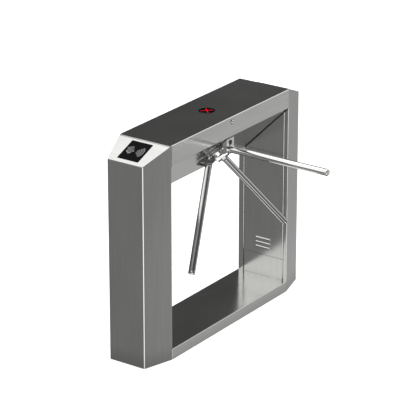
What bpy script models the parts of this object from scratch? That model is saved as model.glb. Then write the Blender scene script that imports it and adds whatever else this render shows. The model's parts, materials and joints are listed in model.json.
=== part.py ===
"""Tripod turnstile that counts visitors: a folded steel cabinet with a three-arm rotor.

Metres, +Z up. The origin is on the floor under the middle of the cabinet, +X runs along the
cabinet to its far reader, and the passage with the arms is on the -Y side.
"""

import math

import bmesh
import bpy
from mathutils import Matrix, Vector

# Cabinet, overall
LENGTH = 1.200
WIDTH = 0.270
HEIGHT = 0.990
COLUMN_DEPTH = 0.150  # of each end column, along X
END_WIDTH = 0.185  # of the narrow end faces, which the columns taper to
END_DROP = 0.060  # how far the sloping reader faces fall
BEAM_BOTTOM = 0.668  # underside of the beam that bridges the columns
CREASE_HEIGHT = 0.902  # where the beam's upright front turns under at 45 degrees
PLINTH_HEIGHT = 0.050

# Sheet metal and fits
SHEET = 0.0015
BEND = 0.003  # outside radius of a fold
END_BEND = 0.007  # of the two softer folds beside a column's end face
SEAM = 0.0015  # shadow gap round a door or a lid
FIT = 0.0003  # between pieces that touch
LIP = 0.012  # folded edge of a column beside its service door
FLANGE_FRONT = 0.021  # column face left standing in front of the service door
FLANGE_REAR = 0.030
HINGE_PIN_R = 0.0022
HINGE_PIN_END_R = 0.0014

# Service doors and the panels over and under them
DOOR_BOTTOM = 0.156
DOOR_RETURN = 0.014
PANEL_FLANGE = 0.022
PANEL_OVERLAP = 0.012  # how far the upper panel runs up behind the beam's end
LOUVRES = 3
LOUVRE_PITCH = 0.0217
LOUVRE_LENGTH = 0.080
LOUVRE_RISE = 0.0415  # lowest louvre above the door's lower edge
LOUVRE_PROUD = 0.005

# Lid
LID_BEND = 0.005  # of its softer front fold
LID_LIP = 0.010  # how far the lid's ends fold down the slopes
LID_KNUCKLE_X = 0.300
LID_KNUCKLE_GAP = 0.010
LID_EAR = 0.006
LOCK_HEIGHT = 0.9666
LOCK_R = 0.010
LOCK_BARREL_R = 0.008
LOCK_CORE_R = 0.0055
LOCK_BARREL = 0.022
LOCK_CAM = 0.036
LOCK_CAM_WIDTH = 0.012
STRIKE_X = (0.020, 0.042)

# Direction indicator on the lid
INDICATOR_R = 0.038
INDICATOR_BEZEL = 0.004
INDICATOR_PROUD = 0.002
INDICATOR_DEPTH = 0.012

# Readers under the sloping faces
READER_START = 0.023  # window edge, measured down the slope
READER_LENGTH = 0.118
READER_WIDTH = 0.108
READER_THICKNESS = 0.005
READER_MODULE_DEPTH = 0.018

# Rotor: its axis leans 45 degrees, so each arm passes through the level position
HUB_DOWN_SLOPE = 0.1216  # from the beam's crease to the rotor's axis
APEX_DEPTH = 0.0308  # where the arms' centre lines meet, behind the beam's face
ARM_REACH = 0.604  # from that apex to an arm's tip
ARM_R = 0.015
ARM_WALL = 0.0015
TIP_ROUND = 0.005  # rounding of an arm's closed tip
ARM_COUNT = 3
PIVOT_REACH = 0.078  # from the apex to an arm's drop pivot
PIVOT_PIN_R = 0.005
PIN_PROUD = 0.001
TONGUE_R = 0.0135
TONGUE_HALF = 0.009
COLLAR_R = 0.017
COLLAR_START = 0.0208
COLLAR_END = 0.0275
SPIGOT_END = 0.060
HUB_GAP = 0.003
HUB_DISC_R = 0.070
HUB_DISC_TOP = 0.009
HUB_HEAD_TOP = 0.0205
HUB_BOSS_R = 0.0225
HUB_BOSS_TOP = 0.031
HORN_HALF = 0.028
HORN_NOSE_R = 0.020
BUTTON_R = 0.0105
BUTTON_OFFSET = 0.0315
BUTTON_PROUD = 0.003
BUTTON_DEPTH = 0.0055

# Mechanism behind the beam's face, as depths along the rotor's axis
SHAFT_R = 0.0125
BEARING_R = 0.026
BEARING_WIDTH = 0.015
HOUSING_R = 0.034
HOUSING_FLANGE_R = 0.050
HOUSING_FLANGE = 0.008
HOUSING_END = 0.050
PLATE = 0.005
PLATE_CORNER = 0.010
MECHANISM_X = 0.125
MECHANISM_Y = (-0.100, 0.085)
MODULE = 0.002
GEAR_TEETH = 60
PINION_TEETH = 15
GEAR_START = 0.0535
GEAR_THICKNESS = 0.006
GEAR_BACKLASH = 0.0002  # added to the centre distance
DAMPER_R = 0.022
DAMPER_SHAFT_R = 0.004
DAMPER_WELL = 0.012  # how deep the pinion's shaft goes into the damper
REAR_PLATE_START = 0.064
REAR_PLATE = 0.004
REAR_PLATE_Y = (-0.048, 0.066)
POST_R = 0.006
POST_INSET = 0.010  # of a post's centre from the rear plate's edges
RATCHET_R = 0.045
RATCHET_TEETH = 12
RATCHET_NOTCH = 0.007
RATCHET_NOTCH_WIDTH = 0.011
RATCHET_START = 0.074
RATCHET_THICKNESS = 0.010
PAWL_PIVOT = (0.060, 0.040)
PAWL_REST_GAP = 0.0025
PAWL_NOSE = 0.005
PAWL_TAIL = 0.025
PAWL_TAIL_R = 0.004
PAWL_STUD_R = 0.004
PAWL_RING_R = 0.009
PLUNGER_R = 0.005
PLUNGER_LENGTH = 0.050
SOLENOID = (0.024, 0.040, 0.024)
SOLENOID_TOP = 0.010
SENSOR_DISC_R = 0.050
SENSOR_DISC_START = 0.0905
SENSOR_DISC = 0.0015
SENSOR_GAP = 0.0025
SENSOR_WALL = 0.0045
SENSOR_REACH = 0.009  # how far its fork reaches in over the disc
SENSOR_WIDTH = 0.014
SHAFT_END = 0.100

# Floor plates and electrics
BASE_PLATE = 0.006
FOOT_HALF = 0.030  # of the foot bar across the plinth, along X
FOOT_THICKNESS = 0.004
ANCHOR_HOLE_R = 0.00625
CABLE_HOLE_R = 0.025
UNIT_Z = 0.360
UNIT_SIZE = (0.050, 0.090, 0.180)

HALF = WIDTH / 2
OPENING = LENGTH / 2 - COLUMN_DEPTH  # half the gap between the columns
END = LENGTH / 2
SLOPE = math.atan2(END_DROP, COLUMN_DEPTH)
SLOPE_LENGTH = math.hypot(COLUMN_DEPTH, END_DROP)
FACE_SUM = CREASE_HEIGHT - HALF  # y + z anywhere on the beam's 45 degree face
DIAGONAL = math.sqrt(0.5)
HUB = Vector((0, -HALF + HUB_DOWN_SLOPE * DIAGONAL, CREASE_HEIGHT - HUB_DOWN_SLOPE * DIAGONAL))
CURL_R = HINGE_PIN_R + FIT + SHEET
DOOR_TOP = BEAM_BOTTOM - FIT
DOOR_FRONT = -HALF + FLANGE_FRONT + SEAM
DOOR_REAR = HALF - FLANGE_REAR - SEAM
DOOR_PIN = (OPENING + CURL_R, DOOR_REAR - CURL_R)
LID_PIN = (HALF - CURL_R, HEIGHT - CURL_R)  # in Y and Z
PLATE_TOP = SHEET + FIT  # depth of the mechanism plate's front
PLATE_BACK = PLATE_TOP + PLATE
GEAR_R = MODULE * GEAR_TEETH / 2
PINION_R = MODULE * PINION_TEETH / 2
PINION_X = GEAR_R + PINION_R + GEAR_BACKLASH

ROUND = 32
FINE = 48

# Frames that stand an XY outline up: its depth then runs along the third letter
YZ_X = Matrix(((0, 0, 1, 0), (1, 0, 0, 0), (0, 1, 0, 0), (0, 0, 0, 1)))
XZ_Y = Matrix(((1, 0, 0, 0), (0, 0, -1, 0), (0, 1, 0, 0), (0, 0, 0, 1)))

FINISHES = {}


def finish(name, colour, metallic, roughness):
    """A Principled material, made once for each name."""
    if name not in FINISHES:
        material = bpy.data.materials.new(name)
        material.use_nodes = True
        shader = material.node_tree.nodes["Principled BSDF"]
        shader.inputs["Base Color"].default_value = (*colour, 1.0)
        shader.inputs["Metallic"].default_value = metallic
        shader.inputs["Roughness"].default_value = roughness
        FINISHES[name] = material
    return FINISHES[name]


def brushed():
    return finish("brushed stainless steel", (0.55, 0.55, 0.53), 1.0, 0.32)


def polished():
    return finish("polished stainless steel", (0.75, 0.75, 0.75), 1.0, 0.08)


def machined():
    return finish("machined steel", (0.45, 0.45, 0.46), 1.0, 0.35)


def zinc():
    return finish("zinc plated plate", (0.50, 0.51, 0.53), 1.0, 0.45)


def black_plastic():
    return finish("black plastic", (0.02, 0.02, 0.02), 0.0, 0.35)


def dark_glass():
    return finish("smoked acrylic", (0.01, 0.01, 0.012), 0.0, 0.08)


def brass():
    return finish("brass", (0.65, 0.47, 0.22), 1.0, 0.3)


def coil_paint():
    return finish("grey enamel", (0.16, 0.17, 0.18), 0.0, 0.4)


# Outlines


def arc(centre, radius, start, end, steps):
    """Points on an arc, both ends included, from one angle to the other in degrees."""
    angles = [math.radians(start + (end - start) * i / steps) for i in range(steps + 1)]
    return [(centre[0] + radius * math.cos(a), centre[1] + radius * math.sin(a)) for a in angles]


def circle(radius, steps=ROUND, centre=(0, 0)):
    return arc(centre, radius, 0, 360, steps)[:-1]


def box_outline(low, high):
    return [low, (high[0], low[1]), high, (low[0], high[1])]


def rounded_box(low, high, radius, steps=4):
    """A rectangle with its four corners rounded."""
    centres = box_outline((low[0] + radius, low[1] + radius), (high[0] - radius, high[1] - radius))
    outline = []
    for index, centre in enumerate(centres):
        outline += arc(centre, radius, 180 + 90 * index, 270 + 90 * index, steps)
    return outline


def rounded(path, radii=BEND, steps=3):
    """An open path with each inner corner replaced by an arc. radii is one radius, or one for each."""
    points = [Vector(path[0])]
    if not isinstance(radii, tuple):
        radii = (radii,) * (len(path) - 2)
    for before, corner, after, radius in zip(path, path[1:], path[2:], radii):
        corner = Vector(corner)
        to_before = (Vector(before) - corner).normalized()
        to_after = (Vector(after) - corner).normalized()
        half = to_before.angle(to_after) / 2
        reach = radius / math.tan(half)
        middle = corner + (to_before + to_after).normalized() * (radius / math.sin(half))
        first = corner + to_before * reach - middle
        last = corner + to_after * reach - middle
        swing = math.atan2(first.x * last.y - first.y * last.x, first.dot(last))
        start = math.degrees(math.atan2(first.y, first.x))
        points += [Vector(p) for p in arc(middle, radius, start, start + math.degrees(swing), steps)]
    return points + [Vector(path[-1])]


def folded(path, side, thickness=SHEET):
    """The closed outline of a folded sheet whose outer face is the path.

    side is +1 where the sheet lies to the left of the path, and -1 to its right.
    """
    points = [Vector(p) for p in path]
    runs = [(b - a).normalized() for a, b in zip(points, points[1:])]
    inner = []
    for index, point in enumerate(points):
        before = runs[max(index - 1, 0)]
        after = runs[min(index, len(runs) - 1)]
        across = Vector((-before.y - after.y, before.x + after.x)) * side
        across.normalize()
        stretch = across.dot(Vector((-after.y, after.x)) * side)
        inner.append(point + across * (thickness / stretch))
    return points + inner[::-1]


def gear_outline(teeth):
    """A spur gear's outline with straight-sided teeth and one tooth centred on +X."""
    pitch_r = MODULE * teeth / 2
    outer, root = pitch_r + 0.85 * MODULE, pitch_r - 1.15 * MODULE
    pitch = 360 / teeth
    outline = []
    for tooth in range(teeth):
        for radius, share in ((root, -0.26), (outer, -0.12), (outer, 0.12), (root, 0.26)):
            angle = math.radians(pitch * (tooth + share))
            outline.append((radius * math.cos(angle), radius * math.sin(angle)))
    return outline


def notched_outline(radius, notches, depth, width):
    """A disc's outline with square notches round its rim, one centred on +X."""
    outline = []
    half = math.degrees(math.asin(width / 2 / radius))
    for notch in range(notches):
        middle = 360 * notch / notches
        turn = Matrix.Rotation(math.radians(middle), 2)
        outline += [tuple(turn @ Vector((radius - depth, y))) for y in (-width / 2, width / 2)]
        outline += arc((0, 0), radius, middle + half, middle + 360 / notches - half, 3)
    return outline


# Solids


def prism(outline, depth, start=0.0, holes=()):
    """A flat outline, with any holes, given depth along +Z."""
    bm = bmesh.new()
    for loop in (outline, *holes):
        verts = [bm.verts.new((p[0], p[1], start)) for p in loop]
        for a, b in zip(verts, verts[1:] + verts[:1]):
            bm.edges.new((a, b))
    if holes:
        bmesh.ops.triangle_fill(bm, use_beauty=True, edges=bm.edges[:])
    else:
        bm.faces.new(bm.verts[:])
    grown = bmesh.ops.extrude_face_region(bm, geom=bm.faces[:])["geom"]
    lifted = [item for item in grown if isinstance(item, bmesh.types.BMVert)]
    bmesh.ops.translate(bm, verts=lifted, vec=(0, 0, depth))
    return bm


def lathe(profile, steps=ROUND):
    """A closed profile of (radius, height) points turned about Z."""
    bm = bmesh.new()
    verts = [bm.verts.new((r, 0, z)) for r, z in profile]
    for a, b in zip(verts, verts[1:] + verts[:1]):
        if a.co.x > 0 or b.co.x > 0:
            bm.edges.new((a, b))
    geom = bm.verts[:] + bm.edges[:]
    bmesh.ops.spin(
        bm, geom=geom, cent=(0, 0, 0), axis=(0, 0, 1), angle=math.tau, steps=steps, use_merge=True
    )
    bmesh.ops.remove_doubles(bm, verts=bm.verts[:], dist=1e-7)
    return bm


def moved(bm, matrix):
    bmesh.ops.transform(bm, matrix=matrix, verts=bm.verts[:])
    return bm


def sided(bm, side):
    """The shape as made for the far (+X) end, or mirrored to the near end when side is -1."""
    return moved(bm, Matrix.Diagonal((side, 1, 1, 1)))


def solid(name, bm, material=None, parent=None):
    """Makes the object. Without a material it is a hidden cutting or joining tool."""
    bmesh.ops.recalc_face_normals(bm, faces=bm.faces[:])
    mesh = bpy.data.meshes.new(name)
    bm.to_mesh(mesh)
    bm.free()
    obj = bpy.data.objects.new(name, mesh)
    bpy.context.scene.collection.objects.link(obj)
    obj.parent = parent
    if material is None:
        obj.hide_render = True
        obj.display_type = "WIRE"
        return obj
    mesh.materials.append(material)
    mesh.shade_smooth()
    mesh.set_sharp_from_angle(angle=math.radians(32))
    return obj


def combine(obj, bm, operation):
    """Joins a shape to the object, or cuts it out, in the object's own frame."""
    count = len(obj.modifiers) + 1
    tool = solid(f"{obj.name}_tool_{count}", bm, parent=obj.parent)
    modifier = obj.modifiers.new(f"{operation.lower()} {count}", "BOOLEAN")
    modifier.operation = operation
    modifier.object = tool


def join(obj, bm):
    combine(obj, bm, "UNION")


def cut(obj, bm):
    combine(obj, bm, "DIFFERENCE")


def axis_empty(name, location, rotation=(0, 0, 0), parent=None):
    """An empty on a joint's axis, which the pieces that turn there hang from."""
    empty = bpy.data.objects.new(name, None)
    empty.location = location
    empty.rotation_euler = rotation
    empty.parent = parent
    bpy.context.scene.collection.objects.link(empty)
    return empty


def end_name(side):
    return "far" if side > 0 else "near"


# Cabinet


def slope_height(x):
    """Height of the sloping reader face over a distance along the cabinet."""
    return HEIGHT - (abs(x) - OPENING) * math.tan(SLOPE)


def half_width(x):
    """Half the column's width, which tapers towards the end face."""
    return HALF - (HALF - END_WIDTH / 2) * (abs(x) - OPENING) / COLUMN_DEPTH


def column_shell(side):
    """Folded sheet round three sides of a column, with a lip each side of its service door."""
    front, rear = -HALF + FLANGE_FRONT, HALF - FLANGE_REAR
    path = [(OPENING + LIP, rear), (OPENING, rear), (OPENING, HALF), (END, END_WIDTH / 2)]
    path += [(END, -END_WIDTH / 2), (OPENING, -HALF), (OPENING, front), (OPENING + LIP, front)]
    radii = (BEND, BEND, END_BEND, END_BEND, BEND, BEND)
    bm = prism(folded(rounded(path, radii, 4), -1), HEIGHT)
    below = (SHEET + FIT) / math.cos(SLOPE)
    for vert in bm.verts:
        if vert.co.z > HEIGHT / 2:
            vert.co.z = slope_height(vert.co.x) - below
    solid(f"{end_name(side)}_column_shell", sided(bm, side), brushed())


def base_plate(side):
    """Steel foot plate inside a column, with two anchor holes and a hole for cables."""
    start = OPENING + LIP + SHEET
    end = END - SHEET - FIT
    reach = SHEET + 2 * FIT
    corners = [(start, -half_width(start) + reach), (end, -half_width(end) + reach)]
    corners += [(end, half_width(end) - reach), (start, half_width(start) - reach)]
    outline = rounded(corners, END_BEND)
    middle = (start + end) / 2
    anchors = [circle(ANCHOR_HOLE_R, 16, (middle, y)) for y in (-END_WIDTH / 3, END_WIDTH / 3)]
    bm = prism(outline, BASE_PLATE, holes=(*anchors, circle(CABLE_HOLE_R, 24, (middle, 0))))
    solid(f"{end_name(side)}_base_plate", sided(bm, side), zinc())


def fixed_panel(name, side, low, high, flange):
    """Panel over or under a service door: sides folded back, and a flange that holds the door's pin."""
    path = [(OPENING + DOOR_RETURN, DOOR_FRONT), (OPENING, DOOR_FRONT), (OPENING, DOOR_REAR)]
    path.append((OPENING + DOOR_RETURN, DOOR_REAR))
    bm = prism(folded(rounded(path), -1), high - low, low)
    obj = solid(name, sided(bm, side), brushed())
    weld = 0.75 * SHEET
    shelf = box_outline((OPENING + weld, DOOR_FRONT + weld), (OPENING + PANEL_FLANGE, DOOR_REAR - weld))
    join(obj, sided(prism(shelf, SHEET, flange), side))
    cut(obj, sided(pin_hole(flange), side))
    return obj


def lower_panel(side):
    """Fixed panel between the plinth and the service door."""
    top = DOOR_BOTTOM - SEAM
    fixed_panel(f"{end_name(side)}_lower_panel", side, PLINTH_HEIGHT + FIT, top, top - SHEET)


def upper_panel(side):
    """Fixed panel from the service door up behind the end of the beam's 45 degree face."""
    bottom = DOOR_TOP + SEAM
    top = FACE_SUM - DOOR_FRONT + PANEL_OVERLAP
    obj = fixed_panel(f"{end_name(side)}_upper_panel", side, bottom, top, bottom)
    edge = FACE_SUM + PANEL_OVERLAP
    over = [(DOOR_FRONT - SEAM, edge - DOOR_FRONT + SEAM), (HALF, edge - HALF), (HALF, HEIGHT)]
    over.append((DOOR_FRONT - SEAM, HEIGHT))
    depth = DOOR_RETURN + 2 * SEAM
    cut(obj, sided(moved(prism(over, depth, OPENING - SEAM), YZ_X), side))


def pin_hole(level):
    """Cutter for a door pin's end, through a flange whose sheet starts at this height."""
    return prism(circle(HINGE_PIN_END_R + FIT, 12, DOOR_PIN), SHEET + 2 * FIT, level - FIT)


def door_pin(side):
    """Hinge pin of a service door, with thinner ends that stand in the panels' flanges."""
    shoulder = SEAM / 2
    low, high = DOOR_BOTTOM - shoulder, DOOR_TOP + shoulder
    profile = [(0, low - LIP), (HINGE_PIN_END_R, low - LIP), (HINGE_PIN_END_R, low)]
    profile += [(HINGE_PIN_R, low), (HINGE_PIN_R, high), (HINGE_PIN_END_R, high)]
    profile += [(HINGE_PIN_END_R, high + LIP), (0, high + LIP)]
    bm = moved(lathe(profile, 12), Matrix.Translation((*DOOR_PIN, 0)))
    solid(f"{end_name(side)}_door_pin", sided(bm, side), machined())


def louvre_heights():
    return [DOOR_BOTTOM + LOUVRE_RISE + LOUVRE_PITCH * i for i in range(LOUVRES)]


def service_door(side):
    """Louvred door in a column's passage face. Its rear edge is rolled round the hinge pin."""
    hinge = axis_empty(f"{end_name(side)}_door_hinge", (side * DOOR_PIN[0], DOOR_PIN[1], DOOR_BOTTOM))
    corner = rounded([(OPENING + DOOR_RETURN, DOOR_FRONT), (OPENING, DOOR_FRONT), DOOR_PIN])
    path = corner[:-1] + arc(DOOR_PIN, CURL_R, 180, -60, 12)
    to_hinge = Matrix.Translation((-DOOR_PIN[0], -DOOR_PIN[1], -DOOR_BOTTOM))
    bm = moved(prism(folded(path, -1), DOOR_TOP - DOOR_BOTTOM, DOOR_BOTTOM), to_hinge)
    obj = solid(f"{end_name(side)}_service_door", sided(bm, side), brushed(), hinge)
    middle = (DOOR_FRONT + DOOR_REAR) / 2
    for z in louvre_heights():
        low = z - LOUVRE_PROUD
        hood = [(OPENING + FIT, z + LOUVRE_PROUD), (OPENING - LOUVRE_PROUD, low), (OPENING + FIT, low)]
        bm = moved(prism(hood, LOUVRE_LENGTH), XZ_Y)
        bm = moved(bm, to_hinge @ Matrix.Translation((0, middle + LOUVRE_LENGTH / 2, 0)))
        join(obj, sided(bm, side))
        slot = box_outline((OPENING - SHEET, low - LOUVRE_PROUD), (OPENING + 2 * SHEET, low - FIT))
        length = LOUVRE_LENGTH - 2 * LOUVRE_PROUD
        bm = moved(prism(slot, length), XZ_Y)
        bm = moved(bm, to_hinge @ Matrix.Translation((0, middle + length / 2, 0)))
        cut(obj, sided(bm, side))


def plinth():
    """Floor channel that joins the columns, with a foot bar across its middle. Cables run along it."""
    path = [(-HALF, 0), (-HALF, PLINTH_HEIGHT), (HALF, PLINTH_HEIGHT), (HALF, 0)]
    length = 2 * (OPENING - FIT)
    bm = prism(folded(rounded(path), -1), length, -length / 2)
    obj = solid("plinth", moved(bm, YZ_X), brushed())
    inside = HALF - SHEET / 2
    bar = prism(box_outline((-FOOT_HALF, -inside), (FOOT_HALF, inside)), FOOT_THICKNESS)
    join(obj, bar)


def beam_shell(rotor_axis):
    """Folded tray under the lid: back wall, underside, 45 degree face and an upright edge."""
    inside = HALF - SHEET - SEAM / 2
    path = [(-inside, CREASE_HEIGHT + PANEL_FLANGE), (-inside, FACE_SUM + inside)]
    path += [(FACE_SUM - BEAM_BOTTOM, BEAM_BOTTOM), (HALF, BEAM_BOTTOM)]
    path.append((HALF, LID_PIN[1] - CURL_R - SEAM / 2))
    length = 2 * (OPENING - FIT)
    bm = prism(folded(rounded(path), 1), length, -length / 2)
    obj = solid("beam_shell", moved(bm, YZ_X), brushed())
    for x in (-LID_KNUCKLE_X, LID_KNUCKLE_X):
        join(obj, hinge_ear(x))
    join(obj, strike(inside))
    hole = prism(circle(SHAFT_R + HUB_GAP), 4 * SHEET, -3 * SHEET)
    cut(obj, moved(hole, rotor_axis.matrix_basis))


def hinge_ear(x):
    """Ear on the back wall that holds the lid's hinge pin, in a gap of the lid's rolled edge."""
    y, z = LID_PIN
    outline = [(HALF - FIT, z - CURL_R - LIP), (HALF - FIT, z), *arc(LID_PIN, CURL_R - FIT, 0, 180, 8)]
    outline += [(y - CURL_R, z - CURL_R - LIP)]
    hole = circle(HINGE_PIN_R + FIT, 12, LID_PIN)
    return moved(prism(outline, LID_EAR, x - LID_EAR / 2, holes=(hole,)), YZ_X)


def strike(inside):
    """Bent tab inside the beam's front edge that the lock's cam turns under."""
    face = -inside + SHEET / 2
    top = LOCK_HEIGHT + LOCK_CAM_WIDTH / 2 + SEAM + SHEET
    path = [(face, CREASE_HEIGHT + LIP), (face, top), (-HALF + LOCK_BARREL + 5 * SHEET, top)]
    outline = folded(rounded(path), -1)
    return moved(prism(outline, STRIKE_X[1] - STRIKE_X[0], STRIKE_X[0]), YZ_X)


# Lid, indicator and lock


def top_lid():
    """Lid over the beam: flat top, front lip down to the crease and ends folded down the slopes."""
    hinge = axis_empty("lid_hinge", (0, *LID_PIN))
    to_hinge = Matrix.Translation((0, -LID_PIN[0], -LID_PIN[1]))
    path = rounded([(-HALF, CREASE_HEIGHT + SEAM / 2), (-HALF, HEIGHT), (LID_PIN[0], HEIGHT)], LID_BEND, 4)
    path = path[:-1] + arc(LID_PIN, CURL_R, 90, -150, 12)
    length = 2 * (OPENING - FIT)
    bm = moved(prism(folded(path, -1), length, -length / 2), YZ_X)
    obj = solid("top_lid", moved(bm, to_hinge), brushed(), hinge)
    for side in (-1, 1):
        join(obj, moved(sided(lid_end(), side), to_hinge))
    for x in (-LID_KNUCKLE_X, LID_KNUCKLE_X):
        low = (LID_PIN[0] - CURL_R - FIT, LID_PIN[1] - 2 * CURL_R)
        notch = prism(box_outline(low, (HALF + FIT, HEIGHT + FIT)), LID_KNUCKLE_GAP, x - LID_KNUCKLE_GAP / 2)
        cut(obj, moved(moved(notch, YZ_X), to_hinge))
    hole = prism(circle(INDICATOR_R - INDICATOR_BEZEL + SHEET, FINE), 4 * SHEET, HEIGHT - 3 * SHEET)
    cut(obj, moved(hole, to_hinge))
    lock = prism(circle(LOCK_BARREL_R + FIT, 24), 4 * SHEET, -3 * SHEET)
    cut(obj, moved(lock, to_hinge @ lock_frame()))
    return hinge


def lid_end():
    """End of the lid, bent down over the top of a reader face."""
    x = OPENING + LID_LIP * math.cos(SLOPE)
    path = [(OPENING - 2 * LID_LIP, HEIGHT), (OPENING, HEIGHT), (x, HEIGHT - LID_LIP * math.sin(SLOPE))]
    rear = LID_PIN[0] - CURL_R
    bm = moved(prism(folded(path, -1), rear + HALF - LID_BEND), XZ_Y)
    return moved(bm, Matrix.Translation((0, rear, 0)))


def lid_pin():
    """Long hinge pin through the lid's rolled rear edge and the beam's two ears."""
    length = 2 * (OPENING - SEAM)
    bm = prism(circle(HINGE_PIN_R, 12, LID_PIN), length, -length / 2)
    solid("lid_hinge_pin", moved(bm, YZ_X), machined())


def lock_frame():
    """Frame of the lid lock: +Z runs out of the lid's front face along the key."""
    return Matrix.Translation((0, -HALF, LOCK_HEIGHT)) @ Matrix.Rotation(math.radians(90), 4, "X")


def indicator(hinge):
    """Round direction lamp set in the lid: a black bezel ring and a lens with the lamp behind."""
    to_hinge = Matrix.Translation((0, -LID_PIN[0], HEIGHT - LID_PIN[1]))
    lens_r = INDICATOR_R - 2 * INDICATOR_BEZEL + FIT
    barrel_r = INDICATOR_R - INDICATOR_BEZEL + SHEET - FIT
    profile = [(lens_r, -INDICATOR_DEPTH), (barrel_r, -INDICATOR_DEPTH), (barrel_r, FIT)]
    profile += [(INDICATOR_R, FIT), (INDICATOR_R, INDICATOR_PROUD / 2)]
    profile += [(INDICATOR_R - INDICATOR_PROUD, INDICATOR_PROUD), (lens_r, INDICATOR_PROUD)]
    solid("indicator_bezel", moved(lathe(profile, FINE), to_hinge), black_plastic(), hinge)
    lens = lens_r - FIT
    profile = [(0, -INDICATOR_DEPTH), (lens, -INDICATOR_DEPTH), (lens, INDICATOR_PROUD / 2)]
    profile.append((0, INDICATOR_PROUD / 2))
    solid("indicator_lens", moved(lathe(profile, FINE), to_hinge), dark_glass(), hinge)


def lid_lock(hinge):
    """Cam lock in the lid's front lip: a flanged barrel and a core that turns the cam."""
    to_hinge = Matrix.Translation((0, -LID_PIN[0], -LID_PIN[1])) @ lock_frame()
    bore = LOCK_CORE_R + FIT
    profile = [(bore, -LOCK_BARREL), (LOCK_BARREL_R, -LOCK_BARREL), (LOCK_BARREL_R, FIT)]
    profile += [(LOCK_R, FIT), (LOCK_R - FIT, INDICATOR_PROUD), (bore, INDICATOR_PROUD)]
    solid("lid_lock_barrel", moved(lathe(profile, 24), to_hinge), polished(), hinge)
    axis = axis_empty("lid_lock_axis", (0, -HALF, LOCK_HEIGHT), (math.radians(90), 0, 0))
    core_top = INDICATOR_PROUD - FIT
    back = -LOCK_BARREL - FIT
    profile = [(0, back - SHEET), (LOCK_CORE_R, back - SHEET), (LOCK_CORE_R, core_top), (0, core_top)]
    core = solid("lid_lock_core", lathe(profile, 24), brass(), axis)
    half = LOCK_CAM_WIDTH / 2
    cam = arc((0, 0), half, 0, 180, 8) + arc((0, -LOCK_CAM + half), half, 180, 360, 8)
    join(core, prism(cam, SHEET + FIT, back - SHEET - FIT))
    key = box_outline((-SHEET / 2, -LOCK_CORE_R / 2), (SHEET / 2, LOCK_CORE_R / 2))
    cut(core, prism(key, 4 * SHEET, core_top - 2 * SHEET))


# Readers


def slope_frame(side):
    """Frame of a reader face: +X down the slope from the fold, +Z out of the face."""
    frame = Matrix.Translation((OPENING, 0, HEIGHT)) @ Matrix.Rotation(SLOPE, 4, "Y")
    return frame if side > 0 else Matrix.Rotation(math.pi, 4, "Z") @ frame


def reader(side):
    """Sloping top of a column: a panel, a dark window in it and the card reader below."""
    start, end = LID_LIP + SEAM, SLOPE_LENGTH
    taper = (HALF - END_WIDTH / 2) / SLOPE_LENGTH
    corners = [(start, -HALF + taper * start), (end, -END_WIDTH / 2)]
    corners += [(end, END_WIDTH / 2), (start, HALF - taper * start)]
    outline = rounded(corners, END_BEND, 4)
    low = (READER_START, -READER_WIDTH / 2)
    high = (READER_START + READER_LENGTH, READER_WIDTH / 2)
    grown = ((low[0] - FIT, low[1] - FIT), (high[0] + FIT, high[1] + FIT))
    name = end_name(side)
    frame = slope_frame(side)
    bm = prism(outline, SHEET, -SHEET, holes=(rounded_box(*grown, BEND + FIT),))
    solid(f"{name}_reader_panel", moved(bm, frame), brushed())
    window = prism(rounded_box(low, high, BEND), READER_THICKNESS, SHEET - READER_THICKNESS)
    solid(f"{name}_reader_window", moved(window, frame), dark_glass())
    edge = READER_WIDTH / 16
    low, high = (low[0] + edge, low[1] + edge), (high[0] - edge, high[1] - edge)
    module_top = SHEET - READER_THICKNESS - FIT
    module = prism(rounded_box(low, high, BEND), READER_MODULE_DEPTH, module_top - READER_MODULE_DEPTH)
    solid(f"{name}_reader_module", moved(module, frame), black_plastic())


def electric_unit(name, side, material):
    """Boxed unit fixed to the inside of a column's end face."""
    depth, width, height = UNIT_SIZE
    outer = END - SHEET - FIT
    outline = rounded_box((outer - depth, -width / 2), (outer, width / 2), BEND)
    solid(name, sided(prism(outline, height, UNIT_Z), side), material)


# Mechanism


def mechanism_plate(axis):
    """Plate bolted behind the beam's 45 degree face, which carries the rotor."""
    low, high = (-MECHANISM_X, MECHANISM_Y[0]), (MECHANISM_X, MECHANISM_Y[1])
    outline = rounded_box(low, high, PLATE_CORNER)
    bm = prism(outline, PLATE, -PLATE_BACK, holes=(circle(SHAFT_R + HUB_GAP),))
    solid("mechanism_plate", bm, zinc(), axis)


def bearings(axis):
    """Flanged housing on the plate and the two bearings that the shaft runs in."""
    front = -PLATE_BACK - FIT
    bore = BEARING_R + FIT
    profile = [(bore, front), (HOUSING_FLANGE_R, front), (HOUSING_FLANGE_R, front - HOUSING_FLANGE)]
    profile += [(HOUSING_R, front - HOUSING_FLANGE), (HOUSING_R, -HOUSING_END), (bore, -HOUSING_END)]
    solid("bearing_housing", lathe(profile, FINE), coil_paint(), axis)
    for name, top in (("front_bearing", front - FIT), ("rear_bearing", -HOUSING_END + BEARING_WIDTH)):
        inner = SHAFT_R + FIT
        ring = box_outline((inner, top - BEARING_WIDTH), (BEARING_R, top))
        solid(name, lathe(ring), machined(), axis)


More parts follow.
